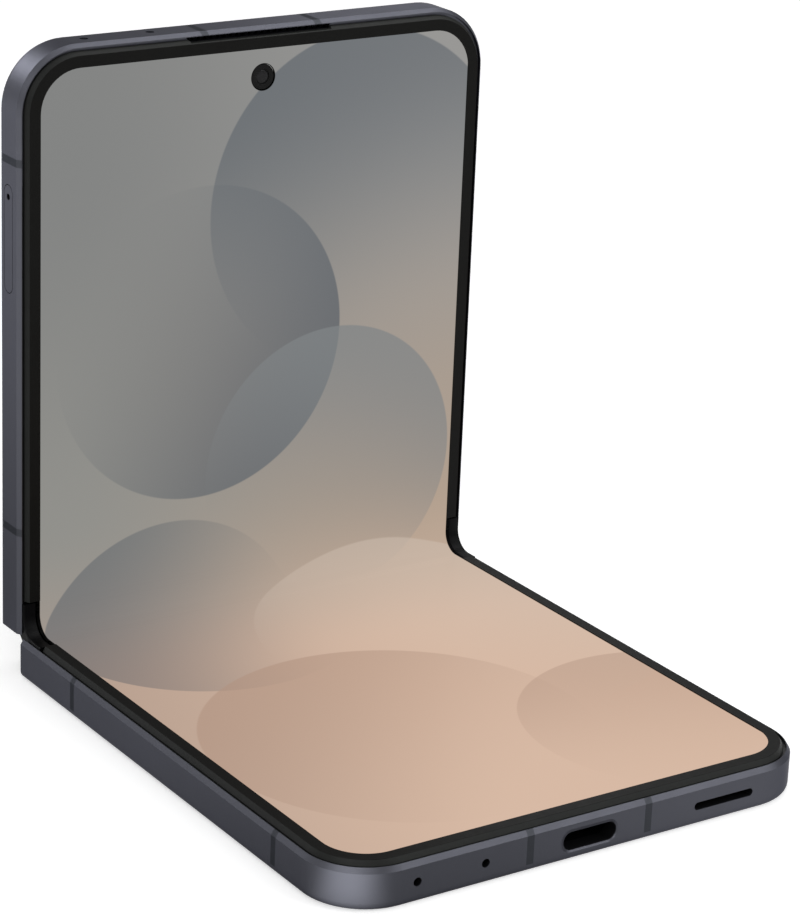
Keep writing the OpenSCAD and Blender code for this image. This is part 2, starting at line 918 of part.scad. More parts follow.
// The arm lies along its half, so at rest it has turned from flat with that half
module sync_arm(i, side)
{
    gear(i);
    spine_frame() translate([0, gear_y[i], gear_z[i]]) rotate([side * half_fold, 0, 0])
        translate([0, -gear_y[i], -gear_z[i]]) sync_arm_flat(i, side);
    spine_frame() both_modules()
        along_x(gear_x - side_gap, side_gap) translate([gear_y[i], gear_z[i]])
            difference()
            {
                circle(gear_root_r, $fn = fine);
                circle(shaft_d / 2 + run_gap, $fn = fine);
            }
}

module lower_sync_arms()
{
    color([0.7, 0.68, 0.6]) sync_arm(0, -1);
}

module upper_sync_arms()
{
    color([0.7, 0.68, 0.6]) sync_arm(5, 1);
}

// Flange screwed to a half's ledge, and curved arms that turn about the half's virtual axis
flange_gap = 0.4;
arm_lap = 0.2;                      // an arm's bar runs this far into the flange and the ring
ear_over = 0.45;                    // an ear reaches this far past its pin's axis
module hinge_arms(x)
{
    both_modules()
    {
        difference()
        {
            union()
            {
                block([channel_w / 2, half_w - rail_wall - flange_gap], [-flange_l, -flange_near],
                    [ledge_z, deck_z]);
                for (ear_x = wing_ear_x)
                    block([ear_x, ear_x + wing_ear_w], [-flange_near, -wing_axis_l + ear_over],
                        [ledge_z, wing_axis_z + flange_gap]);
            }
            translate([0, -wing_axis_l, wing_axis_z]) rotate([0, 90, 0])
                cylinder(d = wing_pin_d + 2 * run_gap, h = half_w, $fn = fine);
            block([sync_arm_x - side_gap, sync_arm_x + sync_t + side_gap],
                [-sync_pocket_l, eps], [0, bar_top]);
            flange_screw_places()
            {
                cylinder(d = screw_d, h = screen_z, $fn = fine);
                cylinder_from(deck_z - screw_sink, screen_z, screw_head_d + 2 * seat_gap);
            }
        }
        along_x(x - arm_bay + side_gap, arm_w) union()
        {
            translate([-axis_y, axis_z]) sector(arm_r, arm_out, arm_from, arm_to);
            translate([-flange_near - arm_lap, bar_z])
                square([flange_near - axis_y - arm_r, bar_top - bar_z]);
        }
    }
}

module lower_hinge_arms()
{
    color([0.62, 0.62, 0.64]) lower_half() hinge_arms(lower_arm_x);
}

module upper_hinge_arms()
{
    color([0.62, 0.62, 0.64]) upper_half() hinge_arms(upper_arm_x);
}

screw_d = 0.8;
screw_floor = 0.8;
screw_bottom = glass_t + screw_floor;
screw_head_d = 1.7;
screw_head_h = 0.35;
screw_sink = 0.4;                   // depth of the seat that takes a screw's head
module flange_screws()
{
    slot_l = 1;
    slot_w = 0.2;
    slot_depth = 0.15;
    flange_screw_places()
    {
        cylinder_from(screw_bottom, deck_z - screw_sink / 2, screw_d);
        translate([0, 0, deck_z - screw_sink]) difference()
        {
            cylinder(d = screw_head_d, h = screw_head_h, $fn = fine);
            for (turn = [0, 90])
                rotate(turn) translate([-slot_l / 2, -slot_w / 2, screw_head_h - slot_depth])
                    cube([slot_l, slot_w, 1]);
        }
    }
}

module lower_flange_screws()
{
    color([0.72, 0.72, 0.74]) lower_half() flange_screws();
}

module upper_flange_screws()
{
    color([0.72, 0.72, 0.74]) upper_half() flange_screws();
}

// Wing plate under the display beside the fold. It drops as the phone shuts, so that the
// display can form a loop. Drawn flat, then swung on its own pivot to its rest attitude.
wing_rest = wing_swing * half_fold / 90;
wing_inset = 0.5;
wing_rib_w = 0.4;
wing_window_gap = 0.3;
wing_w = 2 * (half_w - panel_edge - wing_inset);

module wing_openings()
{
    both_modules()
    {
        block([module_in - wing_window_gap, module_x + wing_window_gap], [-wing_end, eps],
            [0, screen_z]);
        for (ear_x = wing_ear_x)
            block([ear_x - side_gap, ear_x + wing_ear_w + side_gap],
                [-wing_far - eps, -wing_end - eps / 2], [0, screen_z]);
    }
}

module wing_flat()
{
    difference()
    {
        union()
        {
            block([-wing_w / 2, wing_w / 2], [-wing_far, -wing_near], [wing_z, wing_z + wing_t]);
            block([-wing_w / 2, wing_w / 2],
                [-wing_axis_l - wing_rib_w / 2, -wing_axis_l + wing_rib_w / 2],
                [wing_axis_z, wing_z + wing_t]);
        }
        wing_openings();
    }
    both_modules()
        for (ear_x = wing_ear_x)
            translate([ear_x - eps, -wing_axis_l, wing_axis_z]) rotate([0, 90, 0])
                cylinder(d = wing_pin_d, h = wing_ear_w + 2 * eps, $fn = fine);
}

module wing_plate()
{
    color([0.5, 0.5, 0.52]) translate([0, -wing_axis_l, wing_axis_z])
        rotate([-wing_rest, 0, 0]) translate([0, wing_axis_l, -wing_axis_z]) wing_flat();
}

module lower_wing_plate()
{
    lower_half() wing_plate();
}

module upper_wing_plate()
{
    upper_half() wing_plate();
}

/* Inner parts of the lower half */

inner_gap = 0.3;
inner_end = half_length - rail_wall;
battery_near = flange_l + battery_off;
pcb_t = 0.4;
board_z = deck_under - pcb_t;

// Part of the space inside the rail, between two distances from the fold
module tub_block(x, l, z)
{
    translate([0, 0, z[0]]) linear_extrude(z[1] - z[0]) intersection()
    {
        half_plan(rail_wall + inner_gap, l[0]);
        translate([x[0], -l[1]]) square([x[1] - x[0], l[1] - l[0]]);
    }
}

// Pouch cell: rounded block with a folded tab edge and its protection board
pouch_r = 2;
tab_l = 1.6;
tab_t = 1.3;
tab_gap = 0.2;
tab_lap = 0.1;
module battery(w, far, z)
{
    cell_far = far - tab_l;
    translate([0, 0, z]) linear_extrude(deck_under - z)
    {
        translate([pouch_r - w / 2, -cell_far])
            square([w - 2 * pouch_r, cell_far - battery_near]);
        translate([-w / 2, pouch_r - cell_far])
            square([w, cell_far - battery_near - 2 * pouch_r]);
        for (side = [-1, 1])
            for (y = [pouch_r - cell_far, -battery_near - pouch_r])
                translate([side * (w / 2 - pouch_r), y]) circle(pouch_r, $fn = fine);
    }
    block([-w / 4, w / 4], [-far, tab_lap - cell_far],
        [deck_under - tab_t - tab_gap, deck_under - tab_gap]);
}

// A board fills the far end of each half to this reach; its battery takes what is left
charging_board_reach = 24;
lower_battery_gap = 2;
lower_battery_side = 3.4;           // from the rail's inside to the battery
charging_board_l = half_length - charging_board_reach;
lower_battery_l = charging_board_l - lower_battery_gap;
lower_battery_w = 2 * (half_w - rail_wall - lower_battery_side);
coil_rings = 4;
coil_t = 0.3;
coil_gap = 0.1;
module lower_battery()
{
    color([0.12, 0.12, 0.13]) lower_half()
        battery(lower_battery_w, lower_battery_l, glass_t + coil_t + coil_gap);
}

coil_pitch = 3;
coil_wire_w = 2.6;
coil_over = 0.25;                   // the coil's radius over half the battery's length
module charging_coil()
{
    coil_r = (lower_battery_l - battery_near) / 2 + coil_over;
    mid = (battery_near + lower_battery_l) / 2;
    color([0.72, 0.42, 0.22]) lower_half() translate([0, -mid, glass_t])
        for (ring = [0:coil_rings - 1])
            difference()
            {
                cylinder(r = coil_r - coil_pitch * ring, h = coil_t, $fn = smooth);
                translate([0, 0, -eps]) cylinder(r = coil_r - coil_pitch * ring - coil_wire_w,
                    h = coil_t + 2 * eps, $fn = smooth);
            }
}

// A chip on the underside of a board: place across, distance from the far end, width, length
module chip(place, h)
{
    translate([place[0] - place[2] / 2, place[1] - half_length - place[3] / 2, board_z - h])
        cube([place[2], place[3], h]);
}

speaker_box_near = 8.25;
speaker_box_side = 4.6;
speaker_box_gap = 1.5;
speaker_box_x = [speaker_x - speaker_box_near, half_w - speaker_box_side];
charging_chips = [[-28, 18, 5, 4], [-20, 17, 6, 6], [-11, 18, 3, 3], [-29, 10, 4, 6],
    [-22, 8, 3, 3], [8, 18, 4, 5]];
charging_chip_h = 0.8;
module charging_board()
{
    color([0.1, 0.3, 0.22]) lower_half()
    {
        tub_block([-half_w, speaker_box_x[0] - speaker_box_gap], [charging_board_l, half_length],
            [board_z, deck_under]);
        for (place = charging_chips) chip(place, charging_chip_h);
    }
}

module usb_section(w, h)
{
    square([w - h, h], center = true);
    for (side = [-1, 1])
        translate([side * (w - h) / 2, 0]) circle(h / 2, $fn = fine);
}

usb_len = 6.6;
usb_back_t = 0.4;
usb_tongue_side = 1.65;
usb_tongue_w = usb_w - usb_tongue_side;
usb_tongue_h = 0.7;
usb_tongue_l = 5.6;
usb_tongue_inset = 0.9;             // the tongue starts this far behind the mouth
usb_pins = 12;
usb_pin_pitch = 0.5;
usb_pin_w = 0.24;
usb_pin_l = 5.1;
usb_pin_h = 0.8;
usb_pin_inset = 0.4;
module usb_c_receptacle()
{
    shell = board_z - port_z - usb_h / 2;
    color([0.55, 0.55, 0.57]) lower_half() translate([0, -inner_end, port_z]) rotate([-90, 0, 0])
    {
        difference()
        {
            linear_extrude(usb_len) usb_section(usb_w + 2 * shell, usb_h + 2 * shell);
            translate([0, 0, -eps]) linear_extrude(usb_len - usb_back_t + eps)
                usb_section(usb_w, usb_h);
        }
        translate([0, 0, usb_tongue_inset]) linear_extrude(usb_tongue_l)
            square([usb_tongue_w, usb_tongue_h], center = true);
        for (pin = [0:usb_pins - 1])
            translate([(pin - (usb_pins - 1) / 2) * usb_pin_pitch - usb_pin_w / 2,
                -usb_pin_h / 2, usb_tongue_inset + usb_pin_inset])
                cube([usb_pin_w, usb_pin_h, usb_pin_l]);
    }
}

seal_t = 0.35;
speaker_mouth_l = 4;
speaker_mouth_h = 1.4;
module loudspeaker()
{
    color([0.16, 0.16, 0.17]) lower_half() difference()
    {
        tub_block(speaker_box_x, [charging_board_l, inner_end - seal_t],
            [glass_t + inner_gap, deck_under]);
        block([speaker_x - speaker_w / 2, speaker_x + speaker_w / 2],
            [-inner_end - eps, speaker_mouth_l - inner_end],
            [port_z - speaker_mouth_h / 2, port_z + speaker_mouth_h / 2]);
    }
}

// Mesh behind the speaker slot and microphones behind their holes, pressed to the rail
mesh_hole_d = 0.22;
mesh_columns = 12;
mesh_pitch = 0.74;
mesh_row_pitch = 0.33;
seal_lap = 0.5;
module lower_port_seals()
{
    color([0.09, 0.09, 0.1]) lower_half()
    {
        difference()
        {
            block([speaker_x - speaker_w / 2 - seal_lap, speaker_x + speaker_w / 2 + seal_lap],
                [-inner_end, seal_t - inner_end], [port_z - 1, port_z + 1]);
            for (column = [0:mesh_columns - 1])
                for (row = [-1:1])
                    translate([speaker_x + (column - (mesh_columns - 1) / 2) * mesh_pitch,
                        -inner_end - eps, port_z + row * mesh_row_pitch])
                        rotate([-90, 0, 0]) cylinder(d = mesh_hole_d, h = 3, $fn = 16);
        }
        for (x = lower_mics) microphone(x, lower_mic_z);
    }
}

mic_w = 2.8;
mic_l = 1;
mic_top = 0.9;                      // above the hole's centre line
mic_bore_d = 0.5;
module microphone(x, z)
{
    difference()
    {
        block([x - mic_w / 2, x + mic_w / 2], [-inner_end, mic_l - inner_end],
            [z - mic_d / 2, z + mic_top]);
        translate([x, -inner_end - eps, z]) rotate([-90, 0, 0])
            cylinder(d = mic_bore_d, h = mic_l, $fn = fine);
    }
}

/* Inner parts of the upper half */

main_board_reach = 36.5;
main_board_side = 5.6;
upper_battery_gap = 1.5;
cover_gap = 0.35;                   // between the cover display and the battery
upper_battery_side = 5.4;
main_board_l = half_length - main_board_reach;
upper_battery_l = main_board_l - upper_battery_gap;
upper_battery_w = 2 * (half_w - rail_wall - upper_battery_side);
module upper_battery()
{
    color([0.12, 0.12, 0.13]) upper_half()
        battery(upper_battery_w, upper_battery_l, glass_t + cover_display_t + cover_gap);
}

camera_cell = 11.6;
front_cell = 6.4;
module rear_lens(x)
{
    translate([x, lens_y - half_length, 0]) children();
}

main_chips = [[-26, 5.6, 3, 2], [-8, 15.5, 5, 3], [-10, 12, 3, 2.4], [1.6, 14.5, 4, 2.4]];
main_chip_h = 0.7;
module main_board()
{
    cut = camera_cell + 2 * inner_gap;
    front_cut = front_cell + 2 * inner_gap;
    color([0.1, 0.28, 0.2]) upper_half()
    {
        difference()
        {
            tub_block([-half_w, half_w - main_board_side], [main_board_l, half_length],
                [board_z, deck_under]);
            for (x = lens_x) rear_lens(x) block([-cut / 2, cut / 2], [-cut / 2, cut / 2],
                [0, screen_z]);
            front_camera_place() block([-front_cut / 2, front_cut / 2],
                [-front_cut / 2, front_cut / 2], [0, screen_z]);
        }
        for (place = main_chips) chip(place, main_chip_h);
    }
}

// The cans fill the board between the card reader, the key board and the rear cameras
can_h = 1.7;
can_wall = 0.2;
cans_far = half_length - lens_y - camera_cell / 2;
can_gap = 2;
can_tray_gap = 4.6;
can_side = 8.1;
can_x = [[tray_reach - half_w + can_tray_gap, lens_x[1] - can_gap - 1],
    [lens_x[1] - 0.5, half_w - can_side]];
can_l = [[main_board_l + can_gap, cans_far - can_gap],
    [main_board_l + 0.5, cans_far - can_gap - 0.5]];
module shield_cans()
{
    color([0.7, 0.7, 0.72]) upper_half()
        for (i = [0, 1])
            difference()
            {
                block(can_x[i], [-can_l[i][1], -can_l[i][0]], [board_z - can_h, board_z]);
                block([can_x[i][0] + can_wall, can_x[i][1] - can_wall],
                    [can_wall - can_l[i][1], -can_wall - can_l[i][0]],
                    [board_z - can_h + can_wall, board_z + eps]);
            }
}

ring_bevel = 0.3;
ring_w = 1.7;
ring_bore_d = lens_ring_d - 2 * ring_w;
lens_sink = 0.2;                    // from the ring's outer edge down to the lens
lens_glass_t = 0.5;
ring_seat_d = lens_ring_d - 2;      // the ring's foot, in a hole of the cover glass
module camera_rings()
{
    color([0.28, 0.29, 0.33]) upper_half()
        for (x = lens_x)
            rear_lens(x) difference()
            {
                union()
                {
                    translate([0, 0, ring_bevel - lens_proud])
                        cylinder(d = lens_ring_d, h = lens_proud - ring_bevel, $fn = smooth);
                    translate([0, 0, -lens_proud])
                        cylinder(d1 = lens_ring_d - 2 * ring_bevel, d2 = lens_ring_d,
                            h = ring_bevel, $fn = smooth);
                    cylinder(d = ring_seat_d - 2 * seat_gap, h = glass_t, $fn = smooth);
                }
                translate([0, 0, -lens_proud - eps])
                    cylinder(d = ring_bore_d, h = lens_proud + glass_t + 2 * eps, $fn = smooth);
            }
}

module camera_lenses()
{
    color([0.03, 0.03, 0.05]) upper_half()
        for (x = lens_x)
            rear_lens(x) translate([0, 0, lens_sink - lens_proud])
                cylinder(d = ring_bore_d - 2 * seat_gap, h = lens_glass_t, $fn = smooth);
}

barrel_d = 9.6;
barrel_bore_d = 5.4;
module rear_camera_modules()
{
    barrel_z = lens_sink + lens_glass_t - lens_proud;
    color([0.2, 0.2, 0.21]) upper_half()
        for (x = lens_x)
            rear_lens(x)
            {
                translate([-camera_cell / 2, -camera_cell / 2, glass_t + inner_gap])
                    cube([camera_cell, camera_cell, deck_under - glass_t - inner_gap]);
                difference()
                {
                    cylinder_from(barrel_z, glass_t + inner_gap, barrel_d);
                    cylinder_from(barrel_z - eps, glass_t - eps, barrel_bore_d);
                }
            }
}

flash_die = 2;
flash_die_t = 0.6;
module flash_window()
{
    color([0.9, 0.88, 0.75]) upper_half() rear_lens(flash_x)
    {
        cylinder(d = flash_d - 2 * seat_gap, h = glass_t, $fn = fine);
        block([-flash_die / 2, flash_die / 2], [-flash_die / 2, flash_die / 2],
            [glass_t, glass_t + flash_die_t]);
    }
}

front_cell_h = 2.8;
front_barrel_side = 0.35;
front_glass_sink = 0.15;
front_glass_t = 0.3;
front_glass_z = screen_z - front_glass_sink - front_glass_t;
module front_camera()
{
    color([0.08, 0.08, 0.09]) upper_half() front_camera_place()
    {
        translate([-front_cell / 2, -front_cell / 2, deck_under - front_cell_h])
            cube([front_cell, front_cell, front_cell_h]);
        cylinder_from(deck_under, front_glass_z, front_camera_d - 2 * front_barrel_side);
    }
}

module cylinder_from(low, high, d)
{
    translate([0, 0, low]) cylinder(d = d, h = high - low, $fn = fine);
}

module front_camera_glass()
{
    color([0.02, 0.02, 0.04]) upper_half() front_camera_place()
        cylinder_from(front_glass_z, front_glass_z + front_glass_t, front_camera_d - 2 * seat_gap);
}

// The receiver sits between the inner microphone and the front camera
receiver_l = 5.4;
receiver_h = 2.6;
receiver_end_gap = 0.4;
receiver_mic_gap = 0.85;
receiver_camera_gap = 0.6;
receiver_mouth_side = 1.8;
receiver_mouth_l = 0.6;
receiver_mouth_h = 0.5;
receiver_x = [upper_mics[1] + mic_w / 2 + receiver_mic_gap,
    -front_cell / 2 - receiver_camera_gap];
module earpiece_receiver()
{
    far = receiver_end_gap - inner_end;
    color([0.2, 0.2, 0.2]) upper_half() difference()
    {
        block(receiver_x, [far, far + receiver_l], [board_z - receiver_h, board_z]);
        block([receiver_x[0] + receiver_mouth_side, receiver_x[1] - receiver_mouth_side],
            [far - eps, far + receiver_mouth_l], [board_z - 1, board_z - 1 + receiver_mouth_h]);
    }
}

module upper_port_seals()
{
    color([0.09, 0.09, 0.1]) upper_half()
        for (x = upper_mics) microphone(x, upper_mic_z);
}

motor_w = 9;
motor_l = 8;
motor_h = 2.6;
motor_tab = 1;
motor_side = 10.6;
motor_end = 12;
module vibration_motor()
{
    color([0.6, 0.6, 0.62]) upper_half()
        translate([motor_side - half_w, motor_end - half_length, board_z - motor_h])
        {
            block([-motor_w / 2, motor_w / 2], [-motor_l / 2, motor_l / 2], [0, motor_h]);
            block([-motor_w / 2 - motor_tab, motor_w / 2 + motor_tab],
                [-motor_l / 4, motor_l / 4], [motor_h - pcb_t, motor_h]);
        }
}

// SIM tray, its reader, and the opening in the rail
tray_body_h = 0.8;
tray_shoulder = 0.7;                // the tray's face is this much longer at each end
tray_body_l = tray_l - 2 * tray_shoulder;
tray_face_gap = 0.3;
tray_end_gap = 0.2;
ejector_offset = 5.9;
ejector_d = 0.9;
card_near = 4;                      // recess for the card, and the window inside its rim
card_far = 3.2;
card_l = 8.8;
card_rim = 0.8;
card_seat = 0.1;
reader_end = 0.3;
reader_l = tray_l + 2 * reader_end;
reader_gap = 0.1;
reader_back_t = 1;
reader_drop = 0.9;
reader_window_l = 6;

module tray_opening()
{
    stadium_x(-half_w - eps, rail_wall + 2 * eps, tray_pos, tray_l + 2 * key_gap,
        tray_h + 2 * key_gap);
}

// Slot with round ends in a side, its length along the half, pushed along x
module stadium_x(x, depth, l, len, h)
{
    along_x(x, depth) translate([-l, port_z])
    {
        square([len - h, h], center = true);
        for (side = [-1, 1])
            translate([side * (len - h) / 2, 0]) circle(h / 2, $fn = fine);
    }
}

module sim_tray()
{
    color([0.27, 0.28, 0.32]) upper_half() difference()
    {
        union()
        {
            stadium_x(-half_w, rail_wall - tray_face_gap, tray_pos, tray_l, tray_h);
            block([-half_w + 1, tray_reach - half_w],
                [-tray_pos - tray_body_l / 2, -tray_pos + tray_body_l / 2],
                [port_z - tray_body_h / 2, port_z + tray_body_h / 2]);
        }
        translate([-half_w - eps, -tray_pos - ejector_offset, port_z]) rotate([0, 90, 0])
            cylinder(d = ejector_d, h = rail_wall + 1, $fn = fine);
        block([card_near - half_w, tray_reach - half_w - card_far],
            [-tray_pos - card_l / 2, -tray_pos + card_l / 2], [port_z - card_seat, deck_z]);
        block([card_near + card_rim - half_w, tray_reach - half_w - card_far - card_rim],
            [-tray_pos - card_l / 2 + card_rim, -tray_pos + card_l / 2 - card_rim], [0, deck_z]);
    }
}

module sim_reader()
{
    color([0.66, 0.66, 0.68]) upper_half() difference()
    {
        block([rail_wall + reader_gap - half_w, tray_reach - half_w + reader_back_t],
            [-tray_pos - reader_l / 2, -tray_pos + reader_l / 2],
            [port_z - reader_drop, board_z]);
        block([-half_w, tray_reach - half_w + tray_end_gap],
            [-tray_pos - tray_body_l / 2 - key_gap, -tray_pos + tray_body_l / 2 + key_gap],
            [port_z - tray_body_h / 2 - key_gap, port_z + tray_body_h / 2 + key_gap]);
        block([-half_w, tray_reach - half_w - card_far - card_rim],
            [-tray_pos - reader_window_l / 2, -tray_pos + reader_window_l / 2], [0, port_z]);
    }
}

// Side keys: a head in a pocket of the rail and two stems that reach the switches
key_pocket = 1.3;
key_rest_gap = 0.25;
stem_d = 1;
stem_inset = 2.6;
stem_reach = 0.4;                   // out of the rail's inside
rib_inset = 0.2;

module key_opening(l, len)
{
    mirror([1, 0, 0]) stadium_x(-half_w - eps, key_pocket + eps, l, len + 2 * key_gap, key_slot);
    stem_places(l, len) cylinder(d = stem_d + 3 * key_gap, h = 2 * rail_wall, center = true,
        $fn = fine);
}

module stem_places(l, len)
{
    for (side = [-1, 1])
        translate([half_w - rail_wall, -l + side * (len / 2 - stem_inset), port_z])
            rotate([0, 90, 0]) children();
}

module key(l, len, proud)
{
    mirror([1, 0, 0])
        stadium_x(-half_w - proud, key_pocket - key_rest_gap + proud, l, len, key_h);
    stem_places(l, len) cylinder(d = stem_d, h = rail_wall - key_pocket + stem_reach, $fn = fine);
}

// The volume key rocks on a round rib, which bears on the floor of the key's pocket
module volume_key()
{
    rib_h = key_h - 2 * rib_inset;
    color([0.27, 0.28, 0.32]) upper_half()
    {
        key(volume_pos, volume_l, key_proud);
        translate([half_w - key_pocket + key_rest_gap, -volume_pos, port_z - rib_h / 2])
            cylinder(r = key_rest_gap - run_gap, h = rib_h, $fn = fine);
    }
}

module power_key()
{
    color([0.16, 0.17, 0.2]) upper_half() key(power_pos, power_l, 0);
}

// Upright board behind the side keys, with a switch dome in front of each stem
key_board_off = 0.9;
key_board_t = 0.3;
key_board_z = 1.4;
dome_d = 1.8;
dome_h = 0.3;
module side_key_board()
{
    x = half_w - rail_wall - key_board_off;
    color([0.65, 0.45, 0.15]) upper_half()
    {
        block([x, x + key_board_t], [-volume_pos - volume_l / 2, -power_pos + power_l / 2],
            [key_board_z, deck_under]);
        for (key = [[volume_pos, volume_l], [power_pos, power_l]])
            stem_places(key[0], key[1]) translate([0, 0, key_board_t - key_board_off])
                cylinder(d = dome_d, h = dome_h, $fn = fine);
    }
}

lower_frame();
lower_antenna_breaks();
lower_bezel_trim();
lower_back_glass();
lower_display_panel();
lower_display_plate();
lower_battery();
charging_coil();
charging_board();
usb_c_receptacle();
loudspeaker();
lower_port_seals();
lower_hinge_arms();
lower_flange_screws();
upper_frame();
upper_antenna_breaks();
upper_bezel_trim();
cover_glass();
cover_display();
camera_rings();
camera_lenses();
rear_camera_modules();
flash_window();
upper_display_panel();
upper_display_plate();
upper_battery();
main_board();
shield_cans();
front_camera();
front_camera_glass();
earpiece_receiver();
earpiece_mesh();
upper_port_seals();
vibration_motor();
sim_reader();
side_key_board();
upper_hinge_arms();
upper_flange_screws();
hinge_spine();
spine_end_caps();
hinge_brackets();
gear_shafts();
friction_discs();
bracket_screws();
display_fold();
fold_edge_caps();
fold_ribbon_cable();
lower_sync_arms();
idler_gears_a();
idler_gears_b();
idler_gears_c();
idler_gears_d();
upper_sync_arms();
lower_wing_plate();
upper_wing_plate();
sim_tray();
volume_key();
power_key();
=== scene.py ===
"""Looks of a half-open folding phone: finishes, lenses, bending display, studio and camera."""

import json
import math

import bmesh
import bpy
from mathutils import Matrix, Quaternion, Vector


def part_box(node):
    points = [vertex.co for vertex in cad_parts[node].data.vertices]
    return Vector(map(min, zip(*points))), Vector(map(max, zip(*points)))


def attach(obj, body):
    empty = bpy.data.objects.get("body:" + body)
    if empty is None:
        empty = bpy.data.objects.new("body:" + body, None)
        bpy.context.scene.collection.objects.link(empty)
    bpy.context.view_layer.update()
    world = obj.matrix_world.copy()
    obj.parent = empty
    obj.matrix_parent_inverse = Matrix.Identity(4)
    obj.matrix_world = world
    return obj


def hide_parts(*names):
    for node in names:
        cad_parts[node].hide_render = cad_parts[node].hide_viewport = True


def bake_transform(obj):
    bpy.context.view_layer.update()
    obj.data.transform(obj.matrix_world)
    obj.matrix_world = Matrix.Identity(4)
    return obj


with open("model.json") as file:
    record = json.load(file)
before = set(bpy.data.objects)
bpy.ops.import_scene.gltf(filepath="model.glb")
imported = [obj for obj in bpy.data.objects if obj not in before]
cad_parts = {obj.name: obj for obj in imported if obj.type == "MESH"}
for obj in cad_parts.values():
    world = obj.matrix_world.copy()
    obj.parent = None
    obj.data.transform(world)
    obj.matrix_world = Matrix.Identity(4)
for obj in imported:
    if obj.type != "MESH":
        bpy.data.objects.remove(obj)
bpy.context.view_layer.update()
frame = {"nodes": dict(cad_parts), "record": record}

MM = 0.001

# The phone's own sizes, in millimetres, as in its solids. The lower half lies with its back on the
# floor and its fold end at y = FOLD_Y.
HALF_W = 37.6
HALF_LENGTH = 84.0
CORNER_R = 9.0
FOLD_Y = 42.0
LIP_W = 0.55
DECK_Z = 5.4
SCREEN_Z = 6.35
SCREEN_T = 0.75
PANEL_HALF_W = 35.02

# The display's bend at rest: y and z of its middle, and the corner that its planes would meet in
BEND_R = 2.9
BEND_CENTRE = (38.7213, SCREEN_Z + BEND_R)
FOLD_CORNER = (BEND_CENTRE[0] + BEND_R, SCREEN_Z)

# The halves mirror each other in the plane y + z = HALF_SUM
HALF_SUM = FOLD_CORNER[0] + FOLD_CORNER[1]

# Openings in the rail: the charging port's mouth, the height of its middle and its broken edge,
# and y and z of the ejector pin's hole at rest
PORT_SIZE = (8.34, 2.56)
PORT_UP = 2.9
PORT_CHAMFER = 0.34
EJECTOR_HOLE = (45.0713, 69.3213)
EJECTOR_R = 0.45


# Nodes of materials and of the studio's air

# Places of a mix node's colour sockets
COLOUR_A, COLOUR_B, COLOUR_OUT = 6, 7, 2


class Nodes:
    """A node tree, and short calls that add nodes to it."""

    def __init__(self, tree):
        self.tree = tree

    def add(self, kind, **settings):
        node = self.tree.nodes.new(kind)
        for key, value in settings.items():
            setattr(node, key, value)
        return node

    def link(self, source, socket):
        self.tree.links.new(source, socket)

    def put(self, socket, value):
        """Links a socket to another node's output, or sets it to a plain value."""
        if isinstance(value, bpy.types.NodeSocket):
            self.link(value, socket)
        else:
            socket.default_value = value

    def math(self, operation, a, b=0.0, clamp=False):
        node = self.add("ShaderNodeMath", operation=operation, use_clamp=clamp)
        self.put(node.inputs[0], a)
        self.put(node.inputs[1], b)
        return node.outputs[0]

    def product(self, first, *others):
        for other in others:
            first = self.math("MULTIPLY", first, other)
        return first

    def distance(self, a, b):
        """How far a point lies from the origin of two coordinates."""
        return self.math("SQRT", self.math("ADD", self.product(a, a), self.product(b, b)))

    def smooth(self, value, low, high):
        """0 at the low value, rising softly to 1 at the high one."""
        node = self.add("ShaderNodeMapRange", interpolation_type="SMOOTHSTEP")
        self.put(node.inputs["Value"], value)
        node.inputs["From Min"].default_value = low
        node.inputs["From Max"].default_value = high
        return node.outputs["Result"]

    def spread(self, value, low, high):
        """A value of 0 to 1, stretched to the range from low to high."""
        node = self.add("ShaderNodeMapRange")
        self.put(node.inputs["Value"], value)
        node.inputs["To Min"].default_value = low
        node.inputs["To Max"].default_value = high
        return node.outputs["Result"]

    def mix(self, factor, a, b, blend="MIX"):
        node = self.add("ShaderNodeMix", data_type="RGBA", blend_type=blend)
        self.put(node.inputs["Factor"], factor)
        self.put(node.inputs[COLOUR_A], a)
        self.put(node.inputs[COLOUR_B], b)
        return node.outputs[COLOUR_OUT]

    def parts(self, vector):
        node = self.add("ShaderNodeSeparateXYZ")
        self.link(vector, node.inputs[0])
        return node.outputs


